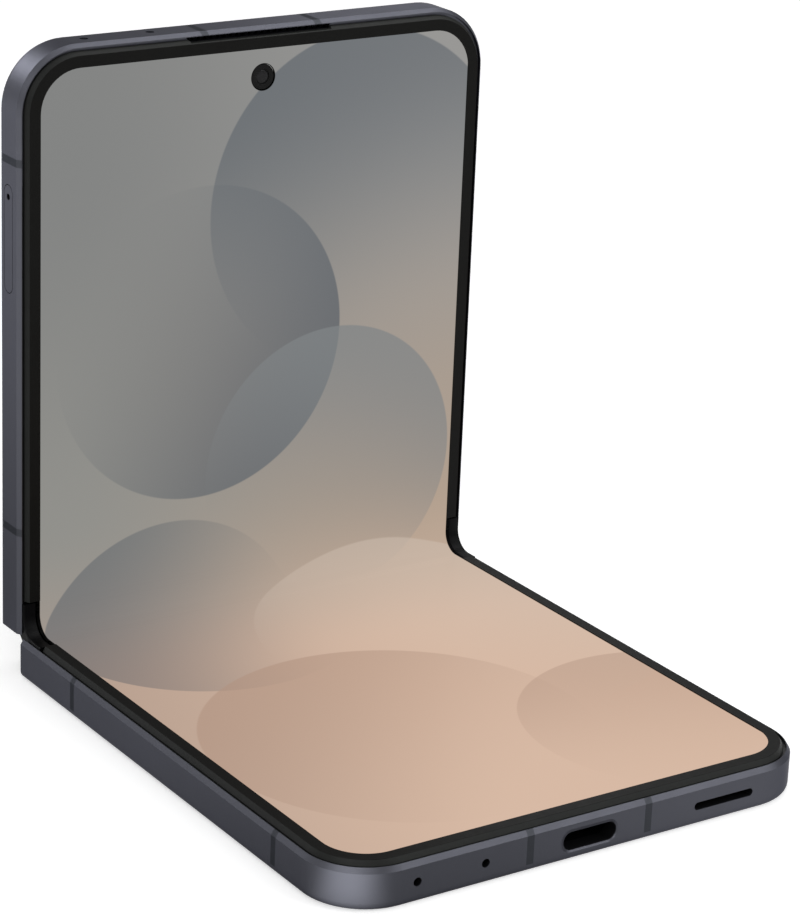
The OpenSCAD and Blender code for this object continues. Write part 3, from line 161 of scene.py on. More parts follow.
class Finish(Nodes):
    """A material; its mm output gives the place on the object in millimetres."""

    def __init__(self, name):
        self.material = bpy.data.materials.new(name)
        self.material.use_nodes = True
        super().__init__(self.material.node_tree)
        self.shader = self.tree.nodes["Principled BSDF"]
        coords = self.add("ShaderNodeTexCoord")
        scale = self.add("ShaderNodeVectorMath", operation="MULTIPLY")
        self.link(coords.outputs["Object"], scale.inputs[0])
        scale.inputs[1].default_value = (1 / MM, 1 / MM, 1 / MM)
        self.mm = scale.outputs["Vector"]

    def placed(self, location=(0, 0, 0), scale=(1, 1, 1), rotation=(0, 0, 0)):
        """The coordinates in millimetres, moved, turned and stretched."""
        node = self.add("ShaderNodeMapping")
        self.link(self.mm, node.inputs["Vector"])
        node.inputs["Location"].default_value = location
        node.inputs["Rotation"].default_value = rotation
        node.inputs["Scale"].default_value = scale
        return node.outputs["Vector"]

    def noise(self, scale, detail, vector=None):
        node = self.add("ShaderNodeTexNoise")
        self.link(vector or self.mm, node.inputs["Vector"])
        node.inputs["Scale"].default_value = scale
        node.inputs["Detail"].default_value = detail
        return node.outputs["Fac"]

    def cells(self, scale, feature="F1"):
        node = self.add("ShaderNodeTexVoronoi", feature=feature)
        self.link(self.mm, node.inputs["Vector"])
        node.inputs["Scale"].default_value = scale
        return node.outputs["Distance"]

    def toned(self, colour, tone, scale):
        """A colour that varies a little in lightness over the surface."""
        low = tuple(c * (1 - tone) for c in colour[:3]) + (1.0,)
        high = tuple(min(c * (1 + tone), 1) for c in colour[:3]) + (1.0,)
        return self.mix(self.noise(scale, detail=4.0), low, high)

    def clouded(self, low, high, scale, detail):
        """A value that drifts between two limits over the surface, for roughness."""
        return self.spread(self.noise(scale, detail), low, high)

    def bump(self, height, depth, strength=1.0, normal=None):
        """Relief of a depth in millimetres, laid over an earlier one if its normal is given."""
        node = self.add("ShaderNodeBump")
        self.link(height, node.inputs["Height"])
        node.inputs["Distance"].default_value = depth * MM
        node.inputs["Strength"].default_value = strength
        if normal is not None:
            self.link(normal, node.inputs["Normal"])
        self.link(node.outputs["Normal"], self.shader.inputs["Normal"])
        return node.outputs["Normal"]

    def set(self, **values):
        """Sockets of the shader, by their names with _ for a space."""
        for key, value in values.items():
            self.put(self.shader.inputs[key.replace("_", " ")], value)


def linear(r, g, b):
    """Display colour 0 to 255 as linear light."""
    def channel(c):
        c /= 255
        return c / 12.92 if c <= 0.04045 else ((c + 0.055) / 1.055) ** 2.4
    return (channel(r), channel(g), channel(b), 1.0)


# Finishes of the rails and trims

ALUMINIUM = (0.062, 0.0635, 0.075, 1)
RESIN = (0.038, 0.04, 0.046, 1)
SHADOW = (0.003, 0.003, 0.0035, 1)

# Where a half's finish changes to painted shade or to the trim's painted highlight, as the values
# at which a mask is 0 and 1: inset from the rim, height above the back and place along the half
GROOVE_INSET = (LIP_W - 0.03, LIP_W - 0.01)
GROOVE_HEIGHT = (DECK_Z - 0.3, DECK_Z - 0.25)
HOLE_INSET = (0.03, 0.22)
HOLE_FLOOR = (1.1, 1.2)
HOLE_CEILING = (4.7, 4.6)
HOLE_ALONG = (3.0, 3.5)
TRIM_SLOPE = (6.48, 6.44)

# The same for the painted shade in the ejector pin's hole: distance from its axis, and x
EJECTOR_EDGE = (EJECTOR_R + 0.04, EJECTOR_R + 0.02)
EJECTOR_WALL = (0.04 - HALF_W, 0.2 - HALF_W)

# The z from which the masks count along the upper half. It lies 12 mm before that half's fold end,
# so its black painted shade in the groove ends short of its far corners.
UPPER_START = FOLD_Y - HALF_SUM


def half_place(f, half):
    """Across, along and above the back of a half, in millimetres."""
    x, y, z = f.parts(f.mm)
    if half == "lower":
        return x, f.math("SUBTRACT", FOLD_Y, y), z
    return x, f.math("SUBTRACT", z, UPPER_START), f.math("SUBTRACT", HALF_SUM, y)


def inset_from_rim(f, x, along):
    """Distance in from the outline of a half, round its corners too."""
    side = f.math("SUBTRACT", f.math("ABSOLUTE", x), HALF_W - CORNER_R)
    far = f.math("SUBTRACT", along, HALF_LENGTH - CORNER_R)
    outside = f.distance(f.math("MAXIMUM", side, 0.0), f.math("MAXIMUM", far, 0.0))
    inside = f.math("MINIMUM", f.math("MAXIMUM", side, far), 0.0)
    return f.math("SUBTRACT", CORNER_R, f.math("ADD", outside, inside))


def port_chamfer(f):
    """Height of the broken edge round the charging port, from its mouth outwards."""
    x, _, z = f.parts(f.mm)
    straight = (PORT_SIZE[0] - PORT_SIZE[1]) / 2
    beside = f.math("MAXIMUM", f.math("SUBTRACT", f.math("ABSOLUTE", x), straight), 0.0)
    reach = f.distance(beside, f.math("SUBTRACT", z, PORT_UP))
    out = f.math("SUBTRACT", reach, PORT_SIZE[1] / 2)
    return f.math("DIVIDE", out, PORT_CHAMFER, clamp=True)


def rail_metal(f, dark=None):
    """Grey-blue blasted metal, bare, or black painted shade where a mask is 1. Gives its grain's
    normal.
    """
    colour = f.toned(ALUMINIUM, tone=0.05, scale=0.06)
    metallic = 1.0
    if dark is not None:
        # Painted shade: where the mask is 1 the metal turns black, as shade in grooves and holes
        colour = f.mix(dark, colour, SHADOW)
        metallic = f.math("SUBTRACT", 1.0, dark)
    f.set(Base_Color=colour, Metallic=metallic, Specular_Tint=(0.5, 0.5, 0.52, 1),
          Roughness=f.clouded(0.4, 0.48, scale=0.35, detail=5.0))
    return f.bump(f.noise(scale=9.0, detail=3.0), depth=0.004)


def blasted_aluminium():
    f = Finish("blasted_aluminium")
    rail_metal(f)
    return f.material


def frame_aluminium(half):
    """A half's frame, with black painted shade in the groove inside the rim and in the holes of the
    rail.
    """
    f = Finish(f"blasted_aluminium_{half}")
    x, along, height = half_place(f, half)
    inset = inset_from_rim(f, x, along)
    # Painted shade in the groove between rim and trim, and inside the holes of the rail
    groove_shade = f.product(f.smooth(inset, *GROOVE_INSET), f.smooth(height, *GROOVE_HEIGHT))
    within = f.product(f.smooth(height, *HOLE_FLOOR), f.smooth(height, *HOLE_CEILING),
                       f.smooth(along, *HOLE_ALONG))
    hole_shade = f.product(f.smooth(inset, *HOLE_INSET), within)
    grain = rail_metal(f, f.math("MAXIMUM", groove_shade, hole_shade))
    if half == "lower":
        f.bump(port_chamfer(f), PORT_CHAMFER, normal=grain)
    return f.material


def tray_aluminium():
    """The tray's head, with dark painted shade inside the hole for the ejector pin."""
    f = Finish("tray_aluminium")
    x, y, z = f.parts(f.mm)
    reach = f.distance(f.math("SUBTRACT", y, EJECTOR_HOLE[0]),
                       f.math("SUBTRACT", z, EJECTOR_HOLE[1]))
    # Painted shade: black inside the ejector pin's hole
    rail_metal(f, f.product(f.smooth(reach, *EJECTOR_EDGE), f.smooth(x, *EJECTOR_WALL)))
    return f.material


def antenna_resin():
    f = Finish("antenna_resin")
    f.set(Base_Color=f.toned(RESIN, tone=0.06, scale=0.8), Metallic=1.0,
          Roughness=f.clouded(0.42, 0.5, scale=2.0, detail=3.0), Specular_Tint=(0.4, 0.4, 0.4, 1))
    f.bump(f.noise(scale=11.0, detail=2.0), depth=0.003)
    return f.material


def moulded_trim(half=None):
    """Black plastic; a half's display trim is a little lighter on its outer slope, a painted
    highlight.
    """
    f = Finish(f"moulded_trim_{half}" if half else "moulded_trim")
    colour = f.toned(linear(18, 18, 17), tone=0.12, scale=0.5)
    if half:
        height = half_place(f, half)[2]
        slope_highlight = f.toned(linear(41, 42, 41), tone=0.1, scale=0.5)
        # Painted highlight: the outer slope, which faces the lamps, is coloured lighter
        colour = f.mix(f.smooth(height, *TRIM_SLOPE), colour, slope_highlight)
    f.set(Base_Color=colour, Specular_IOR_Level=0.05,
          Roughness=f.clouded(0.36, 0.5, scale=1.2, detail=4.0))
    f.bump(f.noise(scale=8.0, detail=3.0), depth=0.005)
    return f.material


def hinge_boot():
    """Soft black edge beside the folding part of the display."""
    f = Finish("hinge_boot")
    f.set(Base_Color=f.toned(linear(9, 9, 10), tone=0.15, scale=0.6), Specular_IOR_Level=0.04,
          Roughness=f.clouded(0.38, 0.48, scale=1.5, detail=3.0))
    f.bump(f.noise(scale=10.0, detail=2.0), depth=0.003)
    return f.material


def shaded_port_metal():
    """Metal of the charging port, and the black mesh and seals inside the openings, darkened as
    painted shade.
    """
    f = Finish("shaded_port_metal")
    # Painted shade: near black, as shade deep inside the openings
    f.set(Base_Color=f.toned(linear(16, 17, 19), tone=0.2, scale=0.8), Metallic=0.6,
          Roughness=f.clouded(0.4, 0.55, scale=1.4, detail=3.0), Specular_IOR_Level=0.1)
    f.bump(f.noise(scale=6.0, detail=2.0), depth=0.004)
    return f.material


def mesh_black():
    """Fine acoustic mesh behind the earpiece slot and the upper microphones."""
    f = Finish("mesh_black")
    f.set(Base_Color=f.toned(linear(7, 7, 10), tone=0.2, scale=1.0), Specular_IOR_Level=0.02,
          Roughness=f.clouded(0.5, 0.65, scale=1.4, detail=3.0))
    f.bump(f.noise(scale=9.0, detail=2.0), depth=0.004)
    return f.material


# Finishes of the glass and the lenses

def frosted_back():
    f = Finish("frosted_back")
    f.set(Base_Color=f.toned(linear(58, 60, 70), tone=0.08, scale=0.03), Metallic=0.55,
          Roughness=f.clouded(0.32, 0.42, scale=6.0, detail=4.0),
          Coat_Weight=0.5, Coat_Roughness=0.28)
    f.bump(f.noise(scale=14.0, detail=2.0), depth=0.002)
    return f.material


def black_glass():
    """Cover glass, with faint smears across it."""
    f = Finish("black_glass")
    slanted = f.placed(scale=(1, 1, 0.35), rotation=(0, 0.4, 0))
    smears = f.noise(scale=0.08, detail=6.0, vector=slanted)
    f.set(Base_Color=f.mix(smears, (0.003, 0.003, 0.004, 1), (0.006, 0.006, 0.008, 1)),
          Roughness=f.spread(smears, 0.02, 0.09), Coat_Weight=1.0, Coat_Roughness=0.02)
    return f.material


def lens_glass():
    """Coated glass, bluish when seen straight and violet at a slant."""
    f = Finish("lens_glass")
    facing = f.add("ShaderNodeLayerWeight")
    facing.inputs["Blend"].default_value = 0.45
    tint = f.mix(facing.outputs["Facing"], linear(10, 12, 26), linear(40, 22, 48))
    f.set(Base_Color=f.mix(f.noise(scale=0.6, detail=2.0), tint, linear(8, 16, 22)),
          Roughness=f.clouded(0.06, 0.12, scale=1.5, detail=3.0), Specular_IOR_Level=0.3)
    return f.material


def camera_black():
    """Black coating of the glass round a lens."""
    f = Finish("camera_black")
    f.set(Base_Color=f.toned(linear(30, 30, 30), tone=0.1, scale=0.5), Specular_IOR_Level=0.02,
          Roughness=f.clouded(0.3, 0.4, scale=1.5, detail=3.0))
    f.bump(f.noise(scale=6.0, detail=2.0), depth=0.001)
    return f.material


def camera_dome():
    """Small front lens: dark grey glass that keeps one point of light."""
    f = Finish("camera_dome")
    f.set(Base_Color=f.toned(linear(38, 38, 39), tone=0.1, scale=1.5), Specular_IOR_Level=0.05,
          Roughness=f.clouded(0.05, 0.08, scale=2.0, detail=3.0))
    return f.material


def flash_diffuser():
    f = Finish("flash_diffuser")
    rings = f.cells(3.2)
    f.set(Base_Color=f.mix(rings, linear(240, 232, 196), linear(214, 198, 140)),
          Roughness=f.clouded(0.08, 0.2, scale=3.0, detail=2.0), Coat_Weight=1.0)
    f.bump(rings, depth=0.03)
    return f.material


# Finishes of the inner pieces

WIRE_PITCH = 0.55
TRACE_HALF_PITCH = 0.5
STRIPE_HALF_PITCH = 0.4


def brushed(name, colour, rough=0.3, along=(1, 12, 12)):
    """Steel with fine lines along the axis of the smallest number, or specks if all are equal."""
    f = Finish(name)
    lines = f.noise(scale=1.6, detail=4.0, vector=f.placed(scale=along))
    f.set(Base_Color=f.mix(lines, tuple(c * 0.8 for c in colour[:3]) + (1.0,), colour),
          Metallic=1.0, Roughness=f.spread(lines, rough - 0.08, rough + 0.1))
    f.bump(lines, depth=0.004)
    return f.material


def cell_pouch():
    f = Finish("cell_pouch")
    f.set(Base_Color=f.toned(linear(34, 34, 37), tone=0.15, scale=0.2), Metallic=0.35,
          Roughness=f.clouded(0.3, 0.5, scale=0.7, detail=4.0))
    f.bump(f.cells(0.25, "DISTANCE_TO_EDGE"), depth=0.05, strength=0.4)
    return f.material


def wound_copper():
    """Turns of wire round the middle of the charging coil."""
    f = Finish("wound_copper")
    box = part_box("charging_coil")
    middle = (box[0] + box[1]) / 2 / MM
    x, y, _ = f.parts(f.placed(location=(-middle.x, -middle.y, 0)))
    turns = f.math("SINE", f.product(f.distance(x, y), 2 * math.pi / WIRE_PITCH))
    f.set(Base_Color=f.mix(f.spread(turns, 0.55, 1.0), linear(96, 44, 20), linear(198, 112, 62)),
          Metallic=0.9, Roughness=f.clouded(0.25, 0.4, scale=1.0, detail=2.0))
    f.bump(turns, depth=0.06)
    return f.material


def circuit_board():
    """Green board with traces that shift sideways from patch to patch."""
    f = Finish("circuit_board")
    x = f.parts(f.mm)["X"]
    patches = f.math("SNAP", f.noise(scale=0.18, detail=2.0), 0.06)
    traces = f.math("PINGPONG", f.math("ADD", patches, f.product(x, 0.9)), TRACE_HALF_PITCH)
    lines = f.smooth(traces, 0.1, 0.16)
    f.set(Base_Color=f.mix(lines, linear(26, 92, 66), linear(12, 54, 40)),
          Roughness=f.clouded(0.3, 0.45, scale=1.0, detail=3.0), Coat_Weight=0.4)
    f.bump(lines, depth=0.02)
    return f.material


def moulded_black():
    f = Finish("moulded_black")
    f.set(Base_Color=f.toned(linear(14, 14, 15), tone=0.2, scale=0.7),
          Roughness=f.clouded(0.5, 0.7, scale=2.0, detail=3.0))
    f.bump(f.noise(scale=7.0, detail=2.0), depth=0.006)
    return f.material


def flex_film():
    """Amber film with copper stripes along it."""
    f = Finish("flex_film")
    x = f.parts(f.mm)["X"]
    lines = f.smooth(f.math("PINGPONG", x, STRIPE_HALF_PITCH), 0.14, 0.2)
    f.set(Base_Color=f.mix(lines, linear(120, 74, 20), linear(176, 116, 40)),
          Roughness=f.clouded(0.28, 0.4, scale=0.9, detail=3.0), Coat_Weight=0.3)
    f.bump(lines, depth=0.01)
    return f.material


# The lit picture on the display: soft overlapping discs over a warm gradient

TOP_LEFT = linear(131, 132, 131)
TOP_RIGHT = linear(152, 151, 149)
FOLD_LEFT = linear(147, 146, 141)
FOLD_RIGHT = linear(176, 158, 141)
LOW_LEFT = linear(184, 160, 144)
LOW_RIGHT = linear(214, 184, 163)
SLATE = linear(84, 93, 102)
SLATE_LIGHT = linear(128, 132, 134)
SAND = linear(176, 146, 128)
HAZE = linear(206, 190, 176)

# Light that the glass reflects over the picture, taken off it again
GLASS_LIFT = 0.002

# Where the gradient starts and ends: across the display, and along it from the fold, with the
# upper half above 0. The slant makes the lower gradient run askew.
LEFT_TO_RIGHT = (-32, 34)
LOW_LEFT_TO_RIGHT = (-34, 30)
LOW_SLANT = 0.45
TOP_TO_FOLD = (70, 0)
FOLD_TO_LOW = (16, -26)

# Edges of the border and of the front camera's hole, and of a disc as parts of its radius
BORDER_EDGE = (34.5, 34.56)
CAMERA_ALONG = 76.57
CAMERA_EDGE = (1.98, 1.92)
DISC_EDGE = (1.006, 0.994)
DISC_FADE = (-0.85, 0.95)

# across, along the unfolded display, radius, colour, strength, and which way it fades
DISCS = [
    (-9.0, 39.0, 23.0, SLATE, 0.78, (0.75, -0.45)),
    (17.0, 57.0, 25.0, SLATE, 0.62, (-0.2, 1.0)),
    (13.0, 17.5, 21.0, SLATE_LIGHT, 0.75, (0.5, 0.85)),
    (-14.0, -9.0, 22.0, SLATE, 0.55, (-0.9, 0.3)),
    (20.0, -26.0, 30.0, HAZE, 0.5, (0.7, 0.7)),
    (-8.0, -52.0, 27.0, SAND, 0.6, (-0.5, 0.8)),
    (28.0, -66.0, 22.0, SAND, 0.45, (0.2, 0.9)),
]


def picture_gradient(f, x, along):
    """Four colours at the ends of the display, with a pair at the fold between them."""
    sideways = f.smooth(x, *LEFT_TO_RIGHT)
    slanted = f.math("SUBTRACT", x, f.product(along, LOW_SLANT))
    top = f.mix(sideways, TOP_LEFT, TOP_RIGHT)
    fold = f.mix(sideways, FOLD_LEFT, FOLD_RIGHT)
    low = f.mix(f.smooth(slanted, *LOW_LEFT_TO_RIGHT), LOW_LEFT, LOW_RIGHT)
    upper = f.mix(f.smooth(along, *TOP_TO_FOLD), top, fold)
    return f.mix(f.smooth(along, *FOLD_TO_LOW), upper, low)


def lit_display(name, rest_attribute=None):
    """Black glass that glows with the picture, by the place of each point at rest."""
    f = Finish(name)
    place = f.mm
    if rest_attribute:
        place = f.add("ShaderNodeAttribute", attribute_name=rest_attribute).outputs["Vector"]
    x, y, z = f.parts(place)
    along = f.math("ADD", f.math("SUBTRACT", y, FOLD_CORNER[0]),
                   f.math("SUBTRACT", z, FOLD_CORNER[1]))
    picture = picture_gradient(f, x, along)
    for across, up, radius, colour, strength, (fade_x, fade_y) in DISCS:
        dx = f.math("DIVIDE", f.math("SUBTRACT", x, across), radius)
        dy = f.math("DIVIDE", f.math("SUBTRACT", along, up), radius)
        inside = f.smooth(f.distance(dx, dy), *DISC_EDGE)
        slope = f.math("ADD", f.product(dx, fade_x), f.product(dy, fade_y))
        picture = f.mix(f.product(inside, f.smooth(slope, *DISC_FADE), strength), picture, colour)
    border = f.smooth(f.math("ABSOLUTE", x), *BORDER_EDGE)
    from_camera = f.distance(x, f.math("SUBTRACT", along, CAMERA_ALONG))
    dark = f.math("MAXIMUM", border, f.smooth(from_camera, *CAMERA_EDGE))
    picture = f.mix(dark, picture, (0.001, 0.001, 0.001, 1))
    lowered = f.mix(1.0, picture, (GLASS_LIFT, GLASS_LIFT, GLASS_LIFT, 1), "SUBTRACT")
    f.set(Base_Color=(0.004, 0.004, 0.004, 1), Specular_IOR_Level=0.004,
          Roughness=f.clouded(0.2, 0.28, scale=0.4, detail=4.0),
          Emission_Color=lowered, Emission_Strength=1.0)
    return f.material


# The finish of each slot, and of the nodes that differ from the rest of their slot

FINISHES = {
    "anodised_frame": blasted_aluminium(),
    "antenna_resin": antenna_resin(),
    "trim_plastic": moulded_trim(),
    "back_glass": frosted_back(),
    "cover_glass": black_glass(),
    "folding_display": lit_display("lit_display"),
    "lens_glass": lens_glass(),
    "plate_steel": brushed("brushed_plate", linear(150, 150, 155)),
    "hinge_steel": brushed("milled_steel", linear(165, 165, 170), rough=0.28),
    "gear_steel": brushed("sintered_steel", linear(178, 174, 160), rough=0.36, along=(6, 6, 6)),
    "screw_steel": brushed("screw_steel", linear(185, 185, 190), rough=0.24, along=(5, 5, 5)),
    "cell_pouch": cell_pouch(),
    "copper_coil": wound_copper(),
    "circuit_board": circuit_board(),
    "module_black": moulded_black(),
    "module_steel": brushed("stamped_steel", linear(172, 172, 176), rough=0.34, along=(9, 1, 9)),
    "flash_lens": flash_diffuser(),
    "flex_film": flex_film(),
}
SHADED_PORT_METAL = shaded_port_metal()
MESH_BLACK = mesh_black()
CAMERA_BLACK = camera_black()
NODE_FINISHES = {
    "lower_frame": frame_aluminium("lower"),
    "upper_frame": frame_aluminium("upper"),
    "usb_c_receptacle": SHADED_PORT_METAL,
    "lower_port_seals": SHADED_PORT_METAL,
    "upper_port_seals": MESH_BLACK,
    "earpiece_mesh": MESH_BLACK,
    "lower_bezel_trim": moulded_trim("lower"),
    "upper_bezel_trim": moulded_trim("upper"),
    "sim_tray": tray_aluminium(),
}

for row in frame["record"]["subparts"]:
    mesh = frame["nodes"][row["node"]].data
    finish = NODE_FINISHES.get(row["node"], FINISHES[row["material_slot"]])
    if not mesh.materials:
        mesh.materials.append(None)
    for i in range(len(mesh.materials)):
        mesh.materials[i] = finish


# Making of new pieces

SMOOTH_ANGLE = math.radians(30)
WELD = 1e-7


def piece(name, bm, finish):
    """A finished mesh object with its place in its mesh, with sharp edges above SMOOTH_ANGLE."""
    bmesh.ops.remove_doubles(bm, verts=bm.verts, dist=WELD)
    bmesh.ops.recalc_face_normals(bm, faces=bm.faces)
    mesh = bpy.data.meshes.new(name)
    for face in bm.faces:
        face.smooth = True
    for edge in bm.edges:
        if len(edge.link_faces) == 2 and edge.calc_face_angle() > SMOOTH_ANGLE:
            edge.smooth = False
    bm.to_mesh(mesh)
    bm.free()
    mesh.materials.append(finish)
    made = bpy.data.objects.new(name, mesh)
    bpy.context.scene.collection.objects.link(made)
    return made


def keep_rest(made):
    """Stores where each point lies at rest, for patterns on pieces that bend."""
    store = made.data.attributes.new("rest_mm", "FLOAT_VECTOR", "POINT")
    for i, vertex in enumerate(made.data.vertices):
        store.data[i].vector = vertex.co / MM


# The display's bend, its edge strips and the ribbon cable

STRAIGHT_STEPS = 8
BEND_STEPS = 20
HALF_BEND = math.radians(45)
SAME_PLANE = 1e-9

# y and z on the lower half where the strips start to follow the spine, and where they wholly do
STRIP_BEND = ((38.4, 6.35), (40.77, 7.2))
RIBBON_BEND = ((37.0, 3.7), (41.2, 4.6))

# How far from a half's fold end the display and its edge strips start, and the cable. A depth is
# counted from the display's surface.
DISPLAY_REACH = 5.0
RIBBON_REACH = 15.5
RIBBON_HALF_W = 7.0
RIBBON_DEPTH = 2.6
RIBBON_T = 0.15
CAP_IN = PANEL_HALF_W + 0.05
CAP_OUT = 37.0
CAP_DEPTH = 0.1
CAP_T = 0.8
CAP_EDGE = 0.18


def mirrored_up(y, z):
    """A point of the lower half at rest, on the upper half."""
    return HALF_SUM - z, HALF_SUM - y


def add_bent_strip(bm, x0, x1, depth, thickness, reach, edge=0.0):
    """A strip under the display's surface, from a half's plane to the middle of the bend."""
    y0 = FOLD_Y - reach
    top = SCREEN_Z - depth
    corners = [(x0, top), (x1, top), (x1, top - thickness), (x0, top - thickness)]
    face = bm.faces.new([bm.verts.new((x * MM, y0 * MM, z * MM)) for x, z in corners])
    if edge:
        bmesh.ops.bevel(bm, geom=list(face.verts), offset=edge * MM, segments=3, profile=0.5,
                        affect="VERTICES", material=-1)
        middles = [(f, f.calc_center_median()) for f in bm.faces]
        face = [f for f, middle in middles if abs(middle.y - y0 * MM) < SAME_PLANE
                and x0 * MM <= middle.x <= x1 * MM][-1]
    run = (BEND_CENTRE[0] - y0) * MM / STRAIGHT_STEPS
    for _ in range(STRAIGHT_STEPS):
        grown = bmesh.ops.extrude_face_region(bm, geom=[face])["geom"]
        verts = [g for g in grown if isinstance(g, bmesh.types.BMVert)]
        face = [g for g in grown if isinstance(g, bmesh.types.BMFace)][0]
        bmesh.ops.translate(bm, verts=verts, vec=(0, run, 0))
    bmesh.ops.spin(bm, geom=[face] + list(face.edges) + list(face.verts),
                   cent=(0, BEND_CENTRE[0] * MM, BEND_CENTRE[1] * MM), axis=(1, 0, 0),
                   angle=HALF_BEND, steps=BEND_STEPS)


def mirror_to_upper(bm):
    """Turns what lies on the lower half over to the upper half."""
    corner = Vector((0, FOLD_CORNER[0] * MM, FOLD_CORNER[1] * MM))
    normal = Vector((0, 1, 1)).normalized()
    flip = Matrix.Identity(3) - 2 * Matrix([normal * n for n in normal])
    bmesh.ops.transform(bm, verts=bm.verts, space=Matrix.Translation(-corner),
                        matrix=flip.to_4x4())


def bent_pair(name, strips, finish, bend=STRIP_BEND):
    """The same strips on the lower side and mirrored on the upper side."""
    made = []
    for side in ("lower", "upper"):
        bm = bmesh.new()
        for strip in strips:
            add_bent_strip(bm, **strip)
        start, end = bend
        if side == "upper":
            mirror_to_upper(bm)
            start, end = mirrored_up(*start), mirrored_up(*end)
        half = piece(f"{name}_{side}", bm, finish)
        keep_rest(half)
        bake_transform(half)
        made.append(half)
    return made


display_strip = dict(x0=-PANEL_HALF_W, x1=PANEL_HALF_W, depth=0.0, thickness=SCREEN_T,
                     reach=DISPLAY_REACH)
for half in bent_pair("display_bend", [display_strip],
                      lit_display("lit_display_bend", "rest_mm")):
    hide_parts("display_fold")

cap_strips = [dict(x0=x0, x1=x1, depth=CAP_DEPTH, thickness=CAP_T, reach=DISPLAY_REACH,
                   edge=CAP_EDGE)
              for x0, x1 in ((-CAP_OUT, -CAP_IN), (CAP_IN, CAP_OUT))]
for half in bent_pair("edge_cap", cap_strips, hinge_boot()):
    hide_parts("fold_edge_caps")

ribbon_strip = dict(x0=-RIBBON_HALF_W, x1=RIBBON_HALF_W, depth=RIBBON_DEPTH, thickness=RIBBON_T,
                    reach=RIBBON_REACH)
for half in bent_pair("ribbon_cable", [ribbon_strip], FINISHES["flex_film"],
                      RIBBON_BEND):
    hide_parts("fold_ribbon_cable")


# Lenses: rings and domes turned about the line of sight

LENS_STEPS = 96
DOME_STEPS = 10
LENS_WELD = 1e-6

# Centres of the lenses' outer faces, in the order x, y, z
FRONT_LENS = (0.0, 41.7713, 82.9213)
REAR_LENSES = {"outer": (26.4, 48.7713, 78.3213), "inner": (10.0, 48.7713, 78.3213)}

# Profiles of the windows: radius, and depth in from the outer face
FRONT_WINDOW = [(1.8, 0.03), (1.77, 0.0), (1.12, 0.0), (1.06, 0.03), (1.04, 0.22), (1.8, 0.28)]
REAR_WINDOW = [(5.25, 0.05), (5.2, 0.0), (3.0, 0.0), (2.9, 0.06), (2.86, 0.16), (2.5, 0.18),
               (2.46, 0.28), (2.1, 0.3), (2.06, 0.4), (5.25, 0.48)]


def turned(name, profile, centre, sight, finish, close=True):
    """A body of revolution that rides on the upper half. Its profile gives radius and depth in
    from the outer face; sight is -1 where the lens looks towards -Y and 1 towards +Y."""
    x, y, z = centre
    bm = bmesh.new()
    verts = [bm.verts.new(((x + r) * MM, (y - sight * depth) * MM, z * MM))
             for r, depth in profile]
    edges = [bm.edges.new(pair) for pair in zip(verts, verts[1:])]
    if close:
        edges.append(bm.edges.new((verts[-1], verts[0])))
    bmesh.ops.spin(bm, geom=verts + edges, cent=(x * MM, y * MM, z * MM), axis=(0, 1, 0),
                   angle=2 * math.pi, steps=LENS_STEPS, use_merge=True)
    bmesh.ops.remove_doubles(bm, verts=bm.verts, dist=LENS_WELD)
    made = piece(name, bm, finish)
    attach(made, "upper_half")
    return made


def dome(radius, rise, depth, thickness):
    """Profile of a shallow dome from the axis outwards, then flat back to the axis."""
    angles = [math.pi / 2 * i / DOME_STEPS for i in range(DOME_STEPS + 1)]
    curve = [(radius * math.sin(a), depth + rise * (1 - math.cos(a))) for a in angles]
    back = depth + rise + thickness
    return curve + [(radius, back), (0.0, back)]


front_dome = dome(radius=1.0, rise=0.16, depth=0.06, thickness=0.04)
rear_dome = dome(radius=2.02, rise=0.22, depth=0.2, thickness=0.05)

front_window = turned("front_camera_window", FRONT_WINDOW, FRONT_LENS, -1, CAMERA_BLACK)
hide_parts("front_camera_glass")
turned("front_camera_dome", front_dome, FRONT_LENS, -1, camera_dome(), close=False)
for side, centre in REAR_LENSES.items():
    rear_window = turned(f"{side}_lens_window", REAR_WINDOW, centre, 1, CAMERA_BLACK)
    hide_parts("camera_lenses")
    turned(f"{side}_lens_dome", rear_dome, centre, 1, FINISHES["lens_glass"], close=False)


# The studio's floor and air. Both are white to the camera, and have a shade of their own in the
# phone's reflections.

FLOOR_RADIUS = 6.0
FLOOR_DROP = 0.00002

# The floor's own light to the camera, near the phone, and in reflections, where it changes along
# x and y: the axis, where the change starts and ends in millimetres, and how much it adds
FLOOR_IN_VIEW = 0.54
FLOOR_MIRRORED = 0.2
FLOOR_SHADES = [
    ("Y", -45, 20, 0.36),
    ("Y", 42, 75, -0.34),
    ("Y", 80, 170, 0.34),
    ("X", -30, 40, 0.62),
    ("X", -60, -220, 1.2),
]

# Round patches of floor: x, y, and the distances from there where it has faded out and is full
FLOOR_GLINT = (-45, -48, 17, 5)
FLOOR_GLINT_LIGHT = 4.5
FLOOR_NEAR = (0, 0, 1500, 300)

# The air as a light on rough surfaces, and in reflections
AIR_LIGHT = 0.3
AIR_MIRRORED = 0.55


def patch(f, place, x, y, out, full):
    """1 inside a round patch of the floor, fading to 0 outside it."""
    reach = f.distance(f.math("SUBTRACT", place["X"], x), f.math("SUBTRACT", place["Y"], y))
    return f.smooth(reach, out, full)


